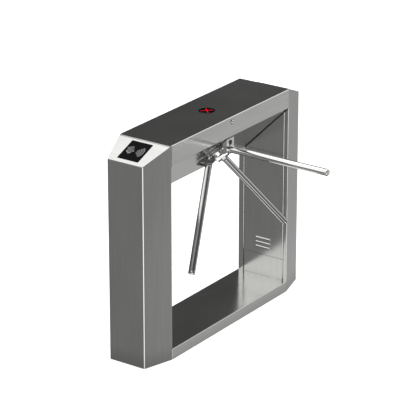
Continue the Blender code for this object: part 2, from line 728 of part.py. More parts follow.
def rear_plate(axis):
    """Second plate, on four posts, with a stud for each locking pawl."""
    width = PAWL_PIVOT[0] + PAWL_TAIL + SOLENOID[0]
    low, high = (-width, REAR_PLATE_Y[0]), (width, REAR_PLATE_Y[1])
    top = -REAR_PLATE_START
    outline = rounded_box(low, high, PLATE_CORNER)
    bm = prism(outline, REAR_PLATE, top - REAR_PLATE, holes=(circle(SHAFT_R + HUB_GAP),))
    obj = solid("rear_plate", bm, zinc(), axis)
    post_bottom = top - REAR_PLATE / 2
    for x in (low[0] + POST_INSET, high[0] - POST_INSET):
        for y in (low[1] + POST_INSET, high[1] - POST_INSET):
            post = circle(POST_R, 16, (x, y))
            join(obj, prism(post, REAR_PLATE_START - PLATE_BACK - FIT + REAR_PLATE / 2, post_bottom))
    for side in (-1, 1):
        stud = circle(PAWL_STUD_R, 16, (side * PAWL_PIVOT[0], PAWL_PIVOT[1]))
        reach = RATCHET_START + RATCHET_THICKNESS + HUB_GAP
        join(obj, prism(stud, reach + post_bottom, -reach))


def damper(axis):
    """Rotary damper beside the bearing housing, with the pinion that the rotor's gear drives."""
    front = -PLATE_BACK - FIT
    well = DAMPER_SHAFT_R + FIT
    profile = [(0, front), (DAMPER_R, front), (DAMPER_R, -HOUSING_END + SHEET)]
    profile += [(DAMPER_R - SHEET, -HOUSING_END), (well, -HOUSING_END)]
    profile += [(well, -HOUSING_END + DAMPER_WELL), (0, -HOUSING_END + DAMPER_WELL)]
    at_damper = Matrix.Translation((PINION_X, 0, 0))
    solid("damper_body", moved(lathe(profile), at_damper), black_plastic(), axis)
    pinion_axis = axis_empty("damper_axis", (PINION_X, 0, 0), parent=axis)
    bm = prism(gear_outline(PINION_TEETH), GEAR_THICKNESS, -GEAR_START - GEAR_THICKNESS)
    obj = solid("damper_pinion", bm, brass(), pinion_axis)
    low = -GEAR_START - GEAR_THICKNESS / 2
    high = -HOUSING_END + DAMPER_WELL - SHEET
    join(obj, prism(circle(DAMPER_SHAFT_R, 16), high - low, low))


def solenoid_lock(side, axis):
    """Pull solenoid, its plunger and the pawl that it swings into the ratchet wheel."""
    name = "right" if side > 0 else "left"
    tail_x = PAWL_PIVOT[0] + PAWL_TAIL
    width, length, height = SOLENOID
    middle = -RATCHET_START - RATCHET_THICKNESS / 2
    low = (tail_x - width / 2, SOLENOID_TOP - length)
    bottom = -REAR_PLATE_START - REAR_PLATE - FIT
    bm = prism(rounded_box(low, (tail_x + width / 2, SOLENOID_TOP), BEND), height, bottom - height)
    obj = solid(f"{name}_solenoid", sided(bm, side), coil_paint(), axis)
    into = Matrix.Translation((tail_x, SOLENOID_TOP, middle)) @ Matrix.Rotation(math.radians(90), 4, "X")
    depth = length - PLUNGER_R
    cut(obj, sided(moved(prism(circle(PLUNGER_R + FIT, 16), depth + SHEET, -SHEET), into), side))
    top = PAWL_PIVOT[1] - PAWL_TAIL_R - FIT
    slide = axis_empty(f"{name}_plunger_slide", (side * tail_x, top, middle), (math.radians(90), 0, 0), axis)
    plunger = prism(circle(PLUNGER_R, 16), PLUNGER_LENGTH)
    solid(f"{name}_plunger", plunger, machined(), slide)
    pawl_axis = axis_empty(f"{name}_pawl_axis", (side * PAWL_PIVOT[0], PAWL_PIVOT[1], 0), parent=axis)
    thickness = RATCHET_THICKNESS - SHEET
    eye = (circle(PAWL_STUD_R + FIT, 16),)
    bm = prism(pawl_outline(), thickness, middle - thickness / 2, holes=eye)
    solid(f"{name}_pawl", sided(bm, side), machined(), pawl_axis)


def pawl_outline():
    """A pawl about its pivot: a leg with a square nose towards the wheel, and a round-ended tail."""
    px, py = PAWL_PIVOT
    half = PAWL_TAIL_R
    nose_x = RATCHET_R + PAWL_REST_GAP - px
    nose = PAWL_NOSE / 2
    entry = math.degrees(math.asin(half / PAWL_RING_R))
    outline = [(nose_x, -py - nose), (half, -py - nose)]
    outline += arc((0, 0), PAWL_RING_R, -90 + entry, -entry, 3)
    outline += arc((PAWL_TAIL, 0), half, -90, 90, 6)
    outline += arc((0, 0), PAWL_RING_R, entry, 270 - entry, 8)
    return outline + [(-half, -py + nose), (nose_x, -py + nose)]


def sensor(axis):
    """Forked light sensor on the rear plate, which counts the slots of the rotor's disc."""
    rim = SENSOR_DISC_R + SENSOR_GAP
    inner, outer = SENSOR_DISC_R - SENSOR_REACH, rim + 2 * SENSOR_WALL
    middle = -SENSOR_DISC_START - SENSOR_DISC / 2
    back = middle - SENSOR_GAP - SENSOR_WALL
    front = middle + SENSOR_GAP + SENSOR_WALL / 2
    foot = -REAR_PLATE_START - REAR_PLATE - FIT
    outline = [(rim + SENSOR_WALL, foot), (outer, foot), (outer, back), (inner, back)]
    outline += [(inner, middle - SENSOR_GAP), (rim, middle - SENSOR_GAP), (rim, middle + SENSOR_GAP)]
    outline += [(inner + SENSOR_GAP, middle + SENSOR_GAP), (inner + SENSOR_GAP, front)]
    outline.append((rim + SENSOR_WALL, front))
    bm = moved(prism(outline, SENSOR_WIDTH, -SENSOR_WIDTH / 2), YZ_X)
    solid("count_sensor", bm, black_plastic(), axis)


# Rotor


def shaft_train(axis):
    """Everything keyed to the shaft: damper gear, ratchet wheel and the slotted counting disc."""
    top = HUB_DISC_TOP - FIT
    bevel = SHEET
    profile = [(0, -SHAFT_END), (SHAFT_R - bevel, -SHAFT_END), (SHAFT_R, -SHAFT_END + bevel)]
    profile += [(SHAFT_R, top), (0, top)]
    solid("main_shaft", lathe(profile), machined(), axis)
    bore = (circle(SHAFT_R + FIT),)
    gear = prism(gear_outline(GEAR_TEETH), GEAR_THICKNESS, -GEAR_START - GEAR_THICKNESS, holes=bore)
    solid("main_gear", gear, machined(), axis)
    outline = notched_outline(RATCHET_R, RATCHET_TEETH, RATCHET_NOTCH, RATCHET_NOTCH_WIDTH)
    wheel = prism(outline, RATCHET_THICKNESS, -RATCHET_START - RATCHET_THICKNESS, holes=bore)
    solid("ratchet_wheel", wheel, machined(), axis)
    outline = notched_outline(SENSOR_DISC_R, 2 * ARM_COUNT, RATCHET_NOTCH, RATCHET_NOTCH_WIDTH)
    disc = prism(outline, SENSOR_DISC, -SENSOR_DISC_START - SENSOR_DISC, holes=bore)
    solid("sensor_disc", disc, zinc(), axis)


def arm_frame(index):
    """Frame of an arm about its drop pivot: +Z along the arm, +X along the pivot pin."""
    turn = Matrix.Rotation(math.tau * index / ARM_COUNT, 4, "Z")
    lean = Matrix.Rotation(math.radians(-45), 4, "X")
    return turn @ Matrix.Translation((0, 0, -APEX_DEPTH)) @ lean @ Matrix.Translation((0, 0, PIVOT_REACH))


def horn_outline():
    """Side view of a horn in (radius, depth): flat outer face, round nose and a step over the disc."""
    r = PIVOT_REACH * DIAGONAL
    z = PIVOT_REACH * DIAGONAL - APEX_DEPTH
    face = r + z + HORN_NOSE_R * math.sqrt(2)  # radius plus depth on the outer face
    base = HUB_DISC_TOP + FIT
    step = HUB_DISC_R + FIT
    outline = [(r - HORN_NOSE_R - PIVOT_PIN_R, base), (step, base), (step, HUB_GAP)]
    outline += [(face - HUB_GAP, HUB_GAP)]
    return outline + arc((r, z), HORN_NOSE_R, 45, 180, 9)


def hub(axis):
    """Drive disc and the head on it, whose three horns fork round the arms' tongues."""
    bore = SHAFT_R + FIT
    bevel = SHEET
    profile = [(bore, HUB_GAP), (HUB_DISC_R - bevel, HUB_GAP), (HUB_DISC_R, HUB_GAP + bevel)]
    profile += [(HUB_DISC_R, HUB_DISC_TOP), (bore, HUB_DISC_TOP)]
    solid("hub_disc", lathe(profile, FINE), polished(), axis)
    base = HUB_DISC_TOP + FIT
    profile = [(0, base), (HUB_DISC_R, base), (HUB_DISC_R, HUB_HEAD_TOP - 2 * bevel)]
    profile += [(HUB_DISC_R - 2 * bevel, HUB_HEAD_TOP), (HUB_BOSS_R + bevel, HUB_HEAD_TOP)]
    profile += [(HUB_BOSS_R - bevel, HUB_BOSS_TOP - bevel), (HUB_BOSS_R / 2, HUB_BOSS_TOP), (0, HUB_BOSS_TOP)]
    head = solid("hub_head", lathe(profile, FINE), polished(), axis)
    width = TONGUE_HALF + FIT
    clear = TONGUE_R + HUB_GAP / 3
    slot_low, slot_high = (-3 * COLLAR_R, -clear - FIT), (clear, 2 * COLLAR_R)
    for index in range(ARM_COUNT):
        turn = Matrix.Rotation(math.tau * index / ARM_COUNT, 4, "Z")
        join(head, moved(prism(horn_outline(), 2 * HORN_HALF, -HORN_HALF), turn @ YZ_X))
    for index in range(ARM_COUNT):
        frame = arm_frame(index)
        slot = prism(box_outline(slot_low, slot_high), 2 * width, -width)
        cut(head, moved(slot, frame @ YZ_X))
        pin = prism(circle(PIVOT_PIN_R + FIT, 16), 4 * HORN_HALF, -2 * HORN_HALF)
        cut(head, moved(pin, frame @ YZ_X))
        mouth = circle(BUTTON_R + FIT, 24, (0, BUTTON_OFFSET))
        well = prism(mouth, 2 * BUTTON_DEPTH, HORN_NOSE_R - BUTTON_DEPTH)
        cut(head, moved(well, frame))


def arm(index, axis):
    """One arm: its tube, the knuckle that it is fixed to, its pivot pin and its release button."""
    number = index + 1
    frame = arm_frame(index)
    pivot = axis_empty(f"arm_{number}_pivot", frame.translation, frame.to_euler(), axis)
    tip = ARM_REACH - PIVOT_REACH
    start = COLLAR_END + FIT
    bore = ARM_R - ARM_WALL
    profile = [(bore, start), (bore, tip - TIP_ROUND), (0, tip - TIP_ROUND), (0, tip)]
    profile += arc((ARM_R - TIP_ROUND, tip - TIP_ROUND), TIP_ROUND, 90, 0, 4)
    profile.append((ARM_R, start))
    solid(f"arm_{number}_tube", lathe(profile), polished(), pivot)
    bevel = SHEET / 2
    profile = [(0, COLLAR_START), (COLLAR_R - bevel, COLLAR_START), (COLLAR_R, COLLAR_START + bevel)]
    profile += [(COLLAR_R, COLLAR_END - bevel), (COLLAR_R - bevel, COLLAR_END), (bore - FIT, COLLAR_END)]
    profile += [(bore - FIT, SPIGOT_END), (0, SPIGOT_END)]
    knuckle = solid(f"arm_{number}_knuckle", lathe(profile), polished(), pivot)
    seat = COLLAR_START + bevel
    tongue = arc((0, 0), TONGUE_R, 180, 360, 12) + [(TONGUE_R, seat), (-TONGUE_R, seat)]
    eye = (circle(PIVOT_PIN_R + FIT, 16),)
    join(knuckle, moved(prism(tongue, 2 * TONGUE_HALF, -TONGUE_HALF, holes=eye), YZ_X))
    half = HORN_HALF + PIN_PROUD
    profile = [(0, -half), (PIVOT_PIN_R - bevel, -half), (PIVOT_PIN_R, -half + bevel)]
    profile += [(PIVOT_PIN_R, half - bevel), (PIVOT_PIN_R - bevel, half), (0, half)]
    pin = moved(lathe(profile, 16), frame @ Matrix.Rotation(math.radians(90), 4, "Y"))
    solid(f"arm_{number}_pivot_pin", pin, machined(), axis)
    button = frame @ Matrix.Translation((0, BUTTON_OFFSET, HORN_NOSE_R))
    slide = axis_empty(f"release_{number}_slide", button.translation, button.to_euler(), axis)
    bottom = -BUTTON_DEPTH + BUTTON_PROUD + FIT
    profile = [(0, bottom), (BUTTON_R, bottom), (BUTTON_R, BUTTON_PROUD - bevel)]
    profile += [(BUTTON_R - bevel, BUTTON_PROUD), (0, BUTTON_PROUD)]
    solid(f"release_button_{number}", lathe(profile, 24), black_plastic(), slide)


def build():
    """Clears the scene and makes the turnstile at rest, with one arm level across the passage."""
    for obj in list(bpy.data.objects):
        bpy.data.objects.remove(obj)
    rotor_axis = axis_empty("rotor_axis", HUB, (math.radians(135), 0, 0))
    for side in (-1, 1):
        column_shell(side)
        base_plate(side)
        lower_panel(side)
        upper_panel(side)
        door_pin(side)
        service_door(side)
        reader(side)
    plinth()
    beam_shell(rotor_axis)
    lid_hinge = top_lid()
    lid_pin()
    indicator(lid_hinge)
    lid_lock(lid_hinge)
    electric_unit("control_unit", 1, black_plastic())
    electric_unit("power_supply", -1, zinc())
    mechanism_plate(rotor_axis)
    bearings(rotor_axis)
    rear_plate(rotor_axis)
    damper(rotor_axis)
    sensor(rotor_axis)
    for side in (-1, 1):
        solenoid_lock(side, rotor_axis)
    shaft_train(rotor_axis)
    hub(rotor_axis)
    for index in range(ARM_COUNT):
        arm(index, rotor_axis)


if __name__ == "__main__":
    build()
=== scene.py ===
"""Finish of a tripod turnstile that counts visitors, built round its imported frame.

The cabinet is folded stainless sheet with a fine linen of brushing, the arms and their hub are mirror
polished, and the readers, lamp and buttons are black. Everything is in metres, in the frame's own axes:
+X along the cabinet to its far end, -Y to the passage, +Z up.
"""

from __future__ import annotations

import json
import logging
import math
from dataclasses import dataclass, field
from enum import Enum
from typing import Iterable, Sequence

import bmesh
import bpy
from mathutils import Matrix, Vector

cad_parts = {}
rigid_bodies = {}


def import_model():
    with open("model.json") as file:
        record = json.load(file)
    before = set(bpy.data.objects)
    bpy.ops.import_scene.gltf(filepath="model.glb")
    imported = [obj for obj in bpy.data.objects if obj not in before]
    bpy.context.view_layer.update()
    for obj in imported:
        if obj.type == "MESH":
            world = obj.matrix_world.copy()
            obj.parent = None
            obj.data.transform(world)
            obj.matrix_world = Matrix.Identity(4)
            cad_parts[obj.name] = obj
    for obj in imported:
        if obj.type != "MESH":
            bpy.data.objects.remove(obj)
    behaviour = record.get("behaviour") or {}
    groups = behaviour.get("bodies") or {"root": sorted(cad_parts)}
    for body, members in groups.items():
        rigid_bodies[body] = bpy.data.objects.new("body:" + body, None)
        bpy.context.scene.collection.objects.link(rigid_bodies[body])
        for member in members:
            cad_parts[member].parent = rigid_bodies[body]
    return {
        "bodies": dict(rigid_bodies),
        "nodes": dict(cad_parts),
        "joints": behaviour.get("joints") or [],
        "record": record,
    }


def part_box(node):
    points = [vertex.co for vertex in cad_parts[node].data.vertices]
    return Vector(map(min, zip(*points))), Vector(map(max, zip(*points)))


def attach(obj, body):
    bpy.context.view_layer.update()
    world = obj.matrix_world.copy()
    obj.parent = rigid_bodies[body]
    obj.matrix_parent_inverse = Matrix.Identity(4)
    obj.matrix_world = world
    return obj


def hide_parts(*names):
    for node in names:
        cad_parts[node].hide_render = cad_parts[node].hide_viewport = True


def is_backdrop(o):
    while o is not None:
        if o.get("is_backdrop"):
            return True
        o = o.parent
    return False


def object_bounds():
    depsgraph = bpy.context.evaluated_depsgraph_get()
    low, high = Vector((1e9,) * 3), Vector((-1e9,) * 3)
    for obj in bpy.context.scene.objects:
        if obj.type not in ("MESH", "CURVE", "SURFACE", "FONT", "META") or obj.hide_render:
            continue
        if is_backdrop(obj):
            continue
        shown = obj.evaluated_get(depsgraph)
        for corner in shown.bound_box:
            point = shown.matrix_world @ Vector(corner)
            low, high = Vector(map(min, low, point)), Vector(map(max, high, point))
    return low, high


LOG = logging.getLogger("turnstile")
MERGE = 1e-6
SHARP = math.radians(32)
FLAT = math.radians(0.4)
FACING = math.radians(40)
CREASE = math.radians(50)
SAME_FACE = 200
FINE_STEPS = 96
PLAIN_STEPS = 48

Profile = Sequence[tuple[float, float]]
Colour = tuple[float, float, float]


class Grain(Enum):
    """Direction that a sheet was brushed in, as the axis that its lines run along."""

    X = (1, 0, 0)
    Y = (0, 1, 0)
    Z = (0, 0, 1)


class End(Enum):
    """The two ends of the cabinet."""

    NEAR = "near"
    FAR = "far"

    @property
    def side(self) -> int:
        """-1 at the near end and +1 at the far end."""
        return 1 if self is End.FAR else -1


# Finishes


class Pen:
    """Writes a material's node tree round its Principled shader."""

    def __init__(self, name: str) -> None:
        """Starts a material.

        Args:
            name: The material's name.
        """
        self.material = bpy.data.materials.new(name)
        self.material.use_nodes = True
        self.tree = self.material.node_tree
        self.shader = self.tree.nodes["Principled BSDF"]

    def set(self, **values: object) -> None:
        """Sets constants on the shader's sockets, with underscores for the spaces in their names."""
        for key, value in values.items():
            self.shader.inputs[key.replace("_", " ")].default_value = value

    def node(self, kind: str, **inputs: object) -> bpy.types.Node:
        """Adds a node.

        Args:
            kind: The node's type, without its ShaderNode prefix.
            inputs: Values for its sockets, by name with underscores for spaces.

        Returns:
            The new node.
        """
        made = self.tree.nodes.new("ShaderNode" + kind)
        for key, value in inputs.items():
            made.inputs[key.replace("_", " ")].default_value = value
        return made

    def link(self, source: bpy.types.NodeSocket, target: bpy.types.NodeSocket) -> None:
        """Feeds one socket from another."""
        self.tree.links.new(source, target)

    def noise(
        self, scale: Sequence[float], detail: float, roughness: float = 0.5
    ) -> bpy.types.NodeSocket:
        """Noise on the piece's own coordinates.

        Args:
            scale: Features per metre along X, Y and Z.
            detail: Number of octaves.
            roughness: Share that each octave adds to the one before.

        Returns:
            The noise's value, about 0.5.
        """
        place = self.node("TexCoord")
        stretch = self.node("Mapping", Scale=tuple(scale))
        texture = self.node("TexNoise", Scale=1.0, Detail=detail, Roughness=roughness)
        self.link(place.outputs["Object"], stretch.inputs["Vector"])
        self.link(stretch.outputs["Vector"], texture.inputs["Vector"])
        return texture.outputs["Fac"]

    def spread(self, value: bpy.types.NodeSocket, low: float, high: float) -> bpy.types.NodeSocket:
        """Maps noise from its usual span of 0.3 to 0.7 to a span of one's own."""
        span = self.node("MapRange", From_Min=0.3, From_Max=0.7, To_Min=low, To_Max=high)
        self.link(value, span.inputs["Value"])
        return span.outputs["Result"]

    def tint(self, value: bpy.types.NodeSocket, dark: Colour, light: Colour) -> None:
        """Colours the shader between two colours."""
        ramp = self.node("ValToRGB")
        ramp.color_ramp.elements[0].position = 0.3
        ramp.color_ramp.elements[1].position = 0.7
        ramp.color_ramp.elements[0].color = (*dark, 1)
        ramp.color_ramp.elements[1].color = (*light, 1)
        self.link(value, ramp.inputs["Fac"])
        self.link(ramp.outputs["Color"], self.shader.inputs["Base Color"])

    def rising(self, height: float, low: float) -> bpy.types.NodeSocket:
        """A share that climbs to 1 at a height above the floor, as painted shade at a foot thins out."""
        place = self.node("TexCoord")
        split = self.node("SeparateXYZ")
        self.link(place.outputs["Object"], split.inputs["Vector"])
        span = self.node("MapRange", From_Min=0.0, From_Max=height, To_Min=low, To_Max=1.0)
        span.interpolation_type = "SMOOTHSTEP"
        self.link(split.outputs["Z"], span.inputs["Value"])
        return span.outputs["Result"]

    def shade(self, share: bpy.types.NodeSocket) -> None:
        """Darkens or lightens the shader's colour by a share."""
        socket = self.shader.inputs["Base Color"]
        scale = self.node("VectorMath")
        scale.operation = "SCALE"
        self.link(socket.links[0].from_socket, scale.inputs[0])
        self.link(share, scale.inputs["Scale"])
        self.link(scale.outputs["Vector"], socket)

    def rough(self, value: bpy.types.NodeSocket, low: float, high: float) -> None:
        """Varies the shader's roughness between two values."""
        self.link(self.spread(value, low, high), self.shader.inputs["Roughness"])

    def bump(self, value: bpy.types.NodeSocket, strength: float, distance: float) -> None:
        """Adds relief under the bumps already there."""
        relief = self.node("Bump", Strength=strength, Distance=distance)
        socket = self.shader.inputs["Normal"]
        if socket.links:
            self.link(socket.links[0].from_socket, relief.inputs["Normal"])
        self.link(value, relief.inputs["Height"])
        self.link(relief.outputs["Normal"], socket)


def shade(colour: Colour, share: float) -> Colour:
    """A colour made darker or lighter by a share."""
    return tuple(channel * share for channel in colour)


@dataclass(frozen=True)
class Brushed:
    """Brushed stainless sheet: long fine lines one way, cloudy patches and painted shade that darkens
    its foot.
    """

    grain: Grain
    colour: Colour = (0.70, 0.70, 0.685)
    roughness: float = 0.16
    slot: str = "cabinet_steel"
    line_length: float = 4.0
    line_count: float = 500.0
    contrast: float = 0.045
    foot_shade: float = 0.78
    foot_shade_height: float = 0.09

    def material(self) -> bpy.types.Material:
        """Makes the material.

        Returns:
            Brushed steel whose lines run along the grain.
        """
        pen = Pen(f"brushed steel {self.grain.name}")
        pen.set(Metallic=1.0)
        along = [self.line_length if axis else self.line_count for axis in self.grain.value]
        broad = [self.line_length if axis else self.line_count / 8 for axis in self.grain.value]
        lines = pen.noise(along, 3)
        streaks = pen.noise(broad, 3, 0.6)
        clouds = pen.noise((2.5, 2.5, 2.5), 1)
        pen.tint(
            streaks,
            shade(self.colour, 1 - self.contrast),
            shade(self.colour, 1 + self.contrast / 2),
        )
        pen.shade(pen.spread(clouds, 0.93, 1.04))
        # painted shade: the colour darkens towards the floor
        pen.shade(pen.rising(self.foot_shade_height, self.foot_shade))
        pen.rough(clouds, self.roughness * 0.85, self.roughness * 1.2)
        pen.bump(lines, 0.05, 0.0004)
        pen.bump(streaks, 0.04, 0.001)
        return pen.material


@dataclass(frozen=True)
class Polished:
    """Mirror polished stainless, with the faintest polishing haze."""

    colour: Colour = (0.86, 0.86, 0.85)
    roughness: float = 0.045
    slot: str = "polished_steel"

    def material(self) -> bpy.types.Material:
        """Makes the material.

        Returns:
            Bright polished steel.
        """
        pen = Pen("polished steel")
        pen.set(Metallic=1.0)
        haze = pen.noise((30, 30, 30), 3)
        pen.tint(haze, shade(self.colour, 0.97), self.colour)
        pen.rough(haze, self.roughness * 0.7, self.roughness * 1.5)
        pen.bump(pen.noise((18, 18, 18), 1), 0.04, 0.002)
        return pen.material


@dataclass(frozen=True)
class Metal:
    """Cut, cast or plated metal with a plain all-round grain."""

    name: str
    colour: Colour
    roughness: float
    slot: str
    grain_size: float = 0.0015
    relief: float = 0.08

    def material(self) -> bpy.types.Material:
        """Makes the material.

        Returns:
            Metal with mottled tone, roughness and relief.
        """
        pen = Pen(self.name)
        pen.set(Metallic=1.0)
        count = 1 / self.grain_size
        grain = pen.noise((count, count, count), 4)
        clouds = pen.noise((count / 20, count / 20, count / 20), 3)
        pen.tint(clouds, shade(self.colour, 0.82), shade(self.colour, 1.1))
        pen.rough(grain, self.roughness * 0.8, self.roughness * 1.25)
        pen.bump(grain, self.relief, self.grain_size / 6)
        return pen.material


@dataclass(frozen=True)
class Plastic:
    """Moulded or painted surface, from satin to gloss, with a fine texture."""

    name: str
    colour: Colour
    roughness: float
    slot: str
    texture_size: float = 0.0006
    relief: float = 0.15
    gloss: float = 0.5

    def material(self) -> bpy.types.Material:
        """Makes the material.

        Returns:
            Plastic or paint with a moulded texture.
        """
        pen = Pen(self.name)
        pen.set(Specular_IOR_Level=self.gloss)
        count = 1 / self.texture_size
        texture = pen.noise((count, count, count), 2)
        clouds = pen.noise((9, 9, 9), 2)
        pen.tint(clouds, shade(self.colour, 0.9), shade(self.colour, 1.12))
        pen.rough(texture, self.roughness * 0.85, self.roughness * 1.2)
        pen.bump(texture, self.relief, self.texture_size / 8)
        return pen.material


@dataclass(frozen=True)
class Glow:
    """Lit lamp cap that gives off its own colour."""

    name: str
    colour: Colour
    strength: float
    slot: str = "smoked_acrylic"

    def material(self) -> bpy.types.Material:
        """Makes the material.

        Returns:
            A glowing plastic, brighter in patches as a lamp behind it makes it.
        """
        pen = Pen(self.name)
        pen.set(Roughness=0.3, Specular_IOR_Level=0.1, Emission_Strength=self.strength)
        pen.tint(pen.noise((300, 300, 300), 1), shade(self.colour, 0.1), shade(self.colour, 0.2))
        pen.set(Emission_Color=(*self.colour, 1))
        return pen.material


SHEET_X = Brushed(Grain.X)
SHEET_Y = Brushed(Grain.Y)
SHEET_Z = Brushed(Grain.Z)
CHROME = Polished()
MACHINED = Metal("machined steel", (0.55, 0.55, 0.56), 0.28, "machined_steel")
ZINC = Metal("zinc plated steel", (0.62, 0.63, 0.66), 0.38, "zinc_plate", 0.004, 0.12)
BRASS = Metal("turned brass", (0.74, 0.56, 0.27), 0.26, "brass")
BLACK = Plastic("moulded black plastic", (0.018, 0.018, 0.019), 0.38, "black_plastic")
GLASS = Plastic(
    "dark polished acrylic", (0.003, 0.003, 0.0035), 0.06, "smoked_acrylic", 0.02, 0.01, 0.03
)
ENAMEL = Plastic("grey enamel", (0.13, 0.14, 0.15), 0.35, "grey_enamel", 0.001, 0.2)
RUBBER = Plastic("black rubber", (0.02, 0.02, 0.02), 0.75, "black_plastic", 0.0008, 0.3, 0.2)
BOARD = Plastic("green circuit board", (0.012, 0.10, 0.045), 0.3, "black_plastic", 0.001, 0.1)
TERMINAL = Plastic("green terminal block", (0.03, 0.25, 0.10), 0.4, "black_plastic")
INK = Plastic("grey printed ink", (0.42, 0.43, 0.44), 0.5, "smoked_acrylic", 0.0004, 0.1, 0.2)
RED_LAMP = Glow("red lamp", (1.0, 0.0, 0.012), 1.0)

Finish = Brushed | Polished | Metal | Plastic | Glow
MADE: dict[Finish, bpy.types.Material] = {}


def material_of(finish: Finish) -> bpy.types.Material:
    """The finish's material, made the first time that it is asked for."""
    if finish not in MADE:
        MADE[finish] = finish.material()
    return MADE[finish]


# Measures of the frame


def corners(node: str) -> tuple[Vector, Vector]:
    """Lowest and highest corners of a CAD node."""
    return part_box(node)


def middle(node: str) -> Vector:
    """Middle of a CAD node's box."""
    low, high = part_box(node)
    return (low + high) / 2


@dataclass(frozen=True)
class Plane:
    """A flat face of the frame."""

    centre: Vector
    normal: Vector

    @classmethod
    def of(cls, node: bpy.types.Object, towards: Sequence[float]) -> Plane:
        """Finds the largest flat face that looks roughly one way.

        Args:
            node: The CAD node's object.
            towards: Direction that the face looks in, give or take 40 degrees.

        Returns:
            The face's centre and normal.
        """
        groups: dict[tuple[int, ...], list[bpy.types.MeshPolygon]] = {}
        for face in node.data.polygons:
            if face.normal.dot(Vector(towards)) > math.cos(FACING):
                depth = face.center.dot(face.normal)
                key = tuple(round(part * SAME_FACE) for part in (*face.normal, depth))
                groups.setdefault(key, []).append(face)
        best = max(groups.values(), key=lambda faces: sum(face.area for face in faces))
        area = sum(face.area for face in best)
        centre = sum((face.center * face.area for face in best), Vector()) / area
        return cls(centre, best[0].normal.copy())

    def frame(self, along: Sequence[float]) -> Matrix:
        """Frame on the face: +Z out of it and +X as near to a direction as the face allows."""
        return framed(self.centre, self.normal, along)


@dataclass(frozen=True)
class Round:
    """A round CAD node: the line it is round about, and its reach along that line."""

    base: Vector
    direction: Vector
    length: float
    radius: float

    @classmethod
    def of(cls, node: bpy.types.Object, direction: Sequence[float]) -> Round:
        """Measures a node about a line.

        Args:
            node: The CAD node's object.
            direction: Which way the line runs.

        Returns:
            The line's start, direction, length and the node's radius about it.
        """
        way = Vector(direction).normalized()
        points = [vert.co for vert in node.data.vertices]
        centre = sum(points, Vector()) / len(points)
        reach = [(point - centre).dot(way) for point in points]
        radius = max(((point - centre).cross(way)).length for point in points)
        return cls(centre + way * min(reach), way, max(reach) - min(reach), radius)

    def frame(self, along: Sequence[float] = (1, 0, 0)) -> Matrix:
        """Frame at the line's start, with +Z along it."""
        return framed(self.base, self.direction, along)


def framed(origin: Vector, up: Vector, along: Sequence[float]) -> Matrix:
    """A frame from its origin, its +Z and a direction that its +X leans to."""
    z = Vector(up).normalized()
    y = z.cross(Vector(along)).normalized()
    x = y.cross(z)
    turn = Matrix((x, y, z)).transposed().to_4x4()
    return Matrix.Translation(origin) @ turn


# Shapes


def at(x: float = 0.0, y: float = 0.0, z: float = 0.0) -> Matrix:
    """A move."""
    return Matrix.Translation((x, y, z))


def turned(profile: Profile, steps: int = FINE_STEPS) -> bmesh.types.BMesh:
    """A closed profile of (radius, height) points spun about Z.

    Args:
        profile: The outline, in order. Points on the axis have radius 0.
        steps: Number of steps round.

    Returns:
        The turned solid.
    """
    bm = bmesh.new()
    verts = [bm.verts.new((radius, 0, height)) for radius, height in profile]
    for first, last in zip(verts, verts[1:] + verts[:1]):
        if first.co.x > MERGE or last.co.x > MERGE:
            bm.edges.new((first, last))
    bmesh.ops.spin(
        bm, geom=bm.verts[:] + bm.edges[:], cent=(0, 0, 0), axis=(0, 0, 1),
        angle=math.tau, steps=steps, use_merge=True,
    )
    bmesh.ops.remove_doubles(bm, verts=bm.verts[:], dist=MERGE)
    return bm


def disc(
    radius: float, low: float, high: float, bevel: float, steps: int = PLAIN_STEPS
) -> bmesh.types.BMesh:
    """A round plate with its top edge bevelled."""
    profile = [(0, low), (radius, low), (radius, high - bevel), (radius - bevel, high), (0, high)]
    return turned(profile, steps)


def ring(inner: float, outer: float, low: float, high: float, bevel: float) -> bmesh.types.BMesh:
    """A flat ring with both top edges bevelled."""
    profile = [(inner, low), (outer, low), (outer, high - bevel), (outer - bevel, high)]
    profile += [(inner + bevel, high), (inner, high - bevel)]
    return turned(profile)


def block(size: Sequence[float], bevel: float = 0.0, segments: int = 2) -> bmesh.types.BMesh:
    """A box about the origin with all its edges rounded."""
    bm = bmesh.new()
    bmesh.ops.create_cube(bm, size=1.0, matrix=Matrix.Diagonal((*size, 1)))
    if bevel:
        rounded(bm, bevel, segments)
    return bm


def rounded(
    bm: bmesh.types.BMesh, width: float, segments: int = 2, angle: float = SHARP
) -> bmesh.types.BMesh:
    """Rounds every edge where two faces meet at more than an angle."""
    edges = [edge for edge in bm.edges if edge.is_manifold and edge.calc_face_angle() > angle]
    bmesh.ops.bevel(
        bm, geom=edges, offset=width, offset_type="OFFSET", affect="EDGES", segments=segments,
        profile=0.5, material=-1, clamp_overlap=True,
    )
    return bm


def plate(outline: Iterable[tuple[float, float]], low: float, high: float) -> bmesh.types.BMesh:
    """A flat outline in XY, extruded from one height to another."""
    bm = bmesh.new()
    face = bm.faces.new([bm.verts.new((x, y, low)) for x, y in outline])
    grown = bmesh.ops.extrude_face_region(bm, geom=[face])["geom"]
    top = [item for item in grown if isinstance(item, bmesh.types.BMVert)]
    bmesh.ops.translate(bm, verts=top, vec=(0, 0, high - low))
    return bm


def bend(
    centre: tuple[float, float], radius: float, start: float, end: float, steps: int
) -> list[tuple[float, float]]:
    """Points on an arc, both ends included, with its angles in degrees."""
    angles = [math.radians(start + (end - start) * step / steps) for step in range(steps + 1)]
    return [(centre[0] + radius * math.cos(a), centre[1] + radius * math.sin(a)) for a in angles]


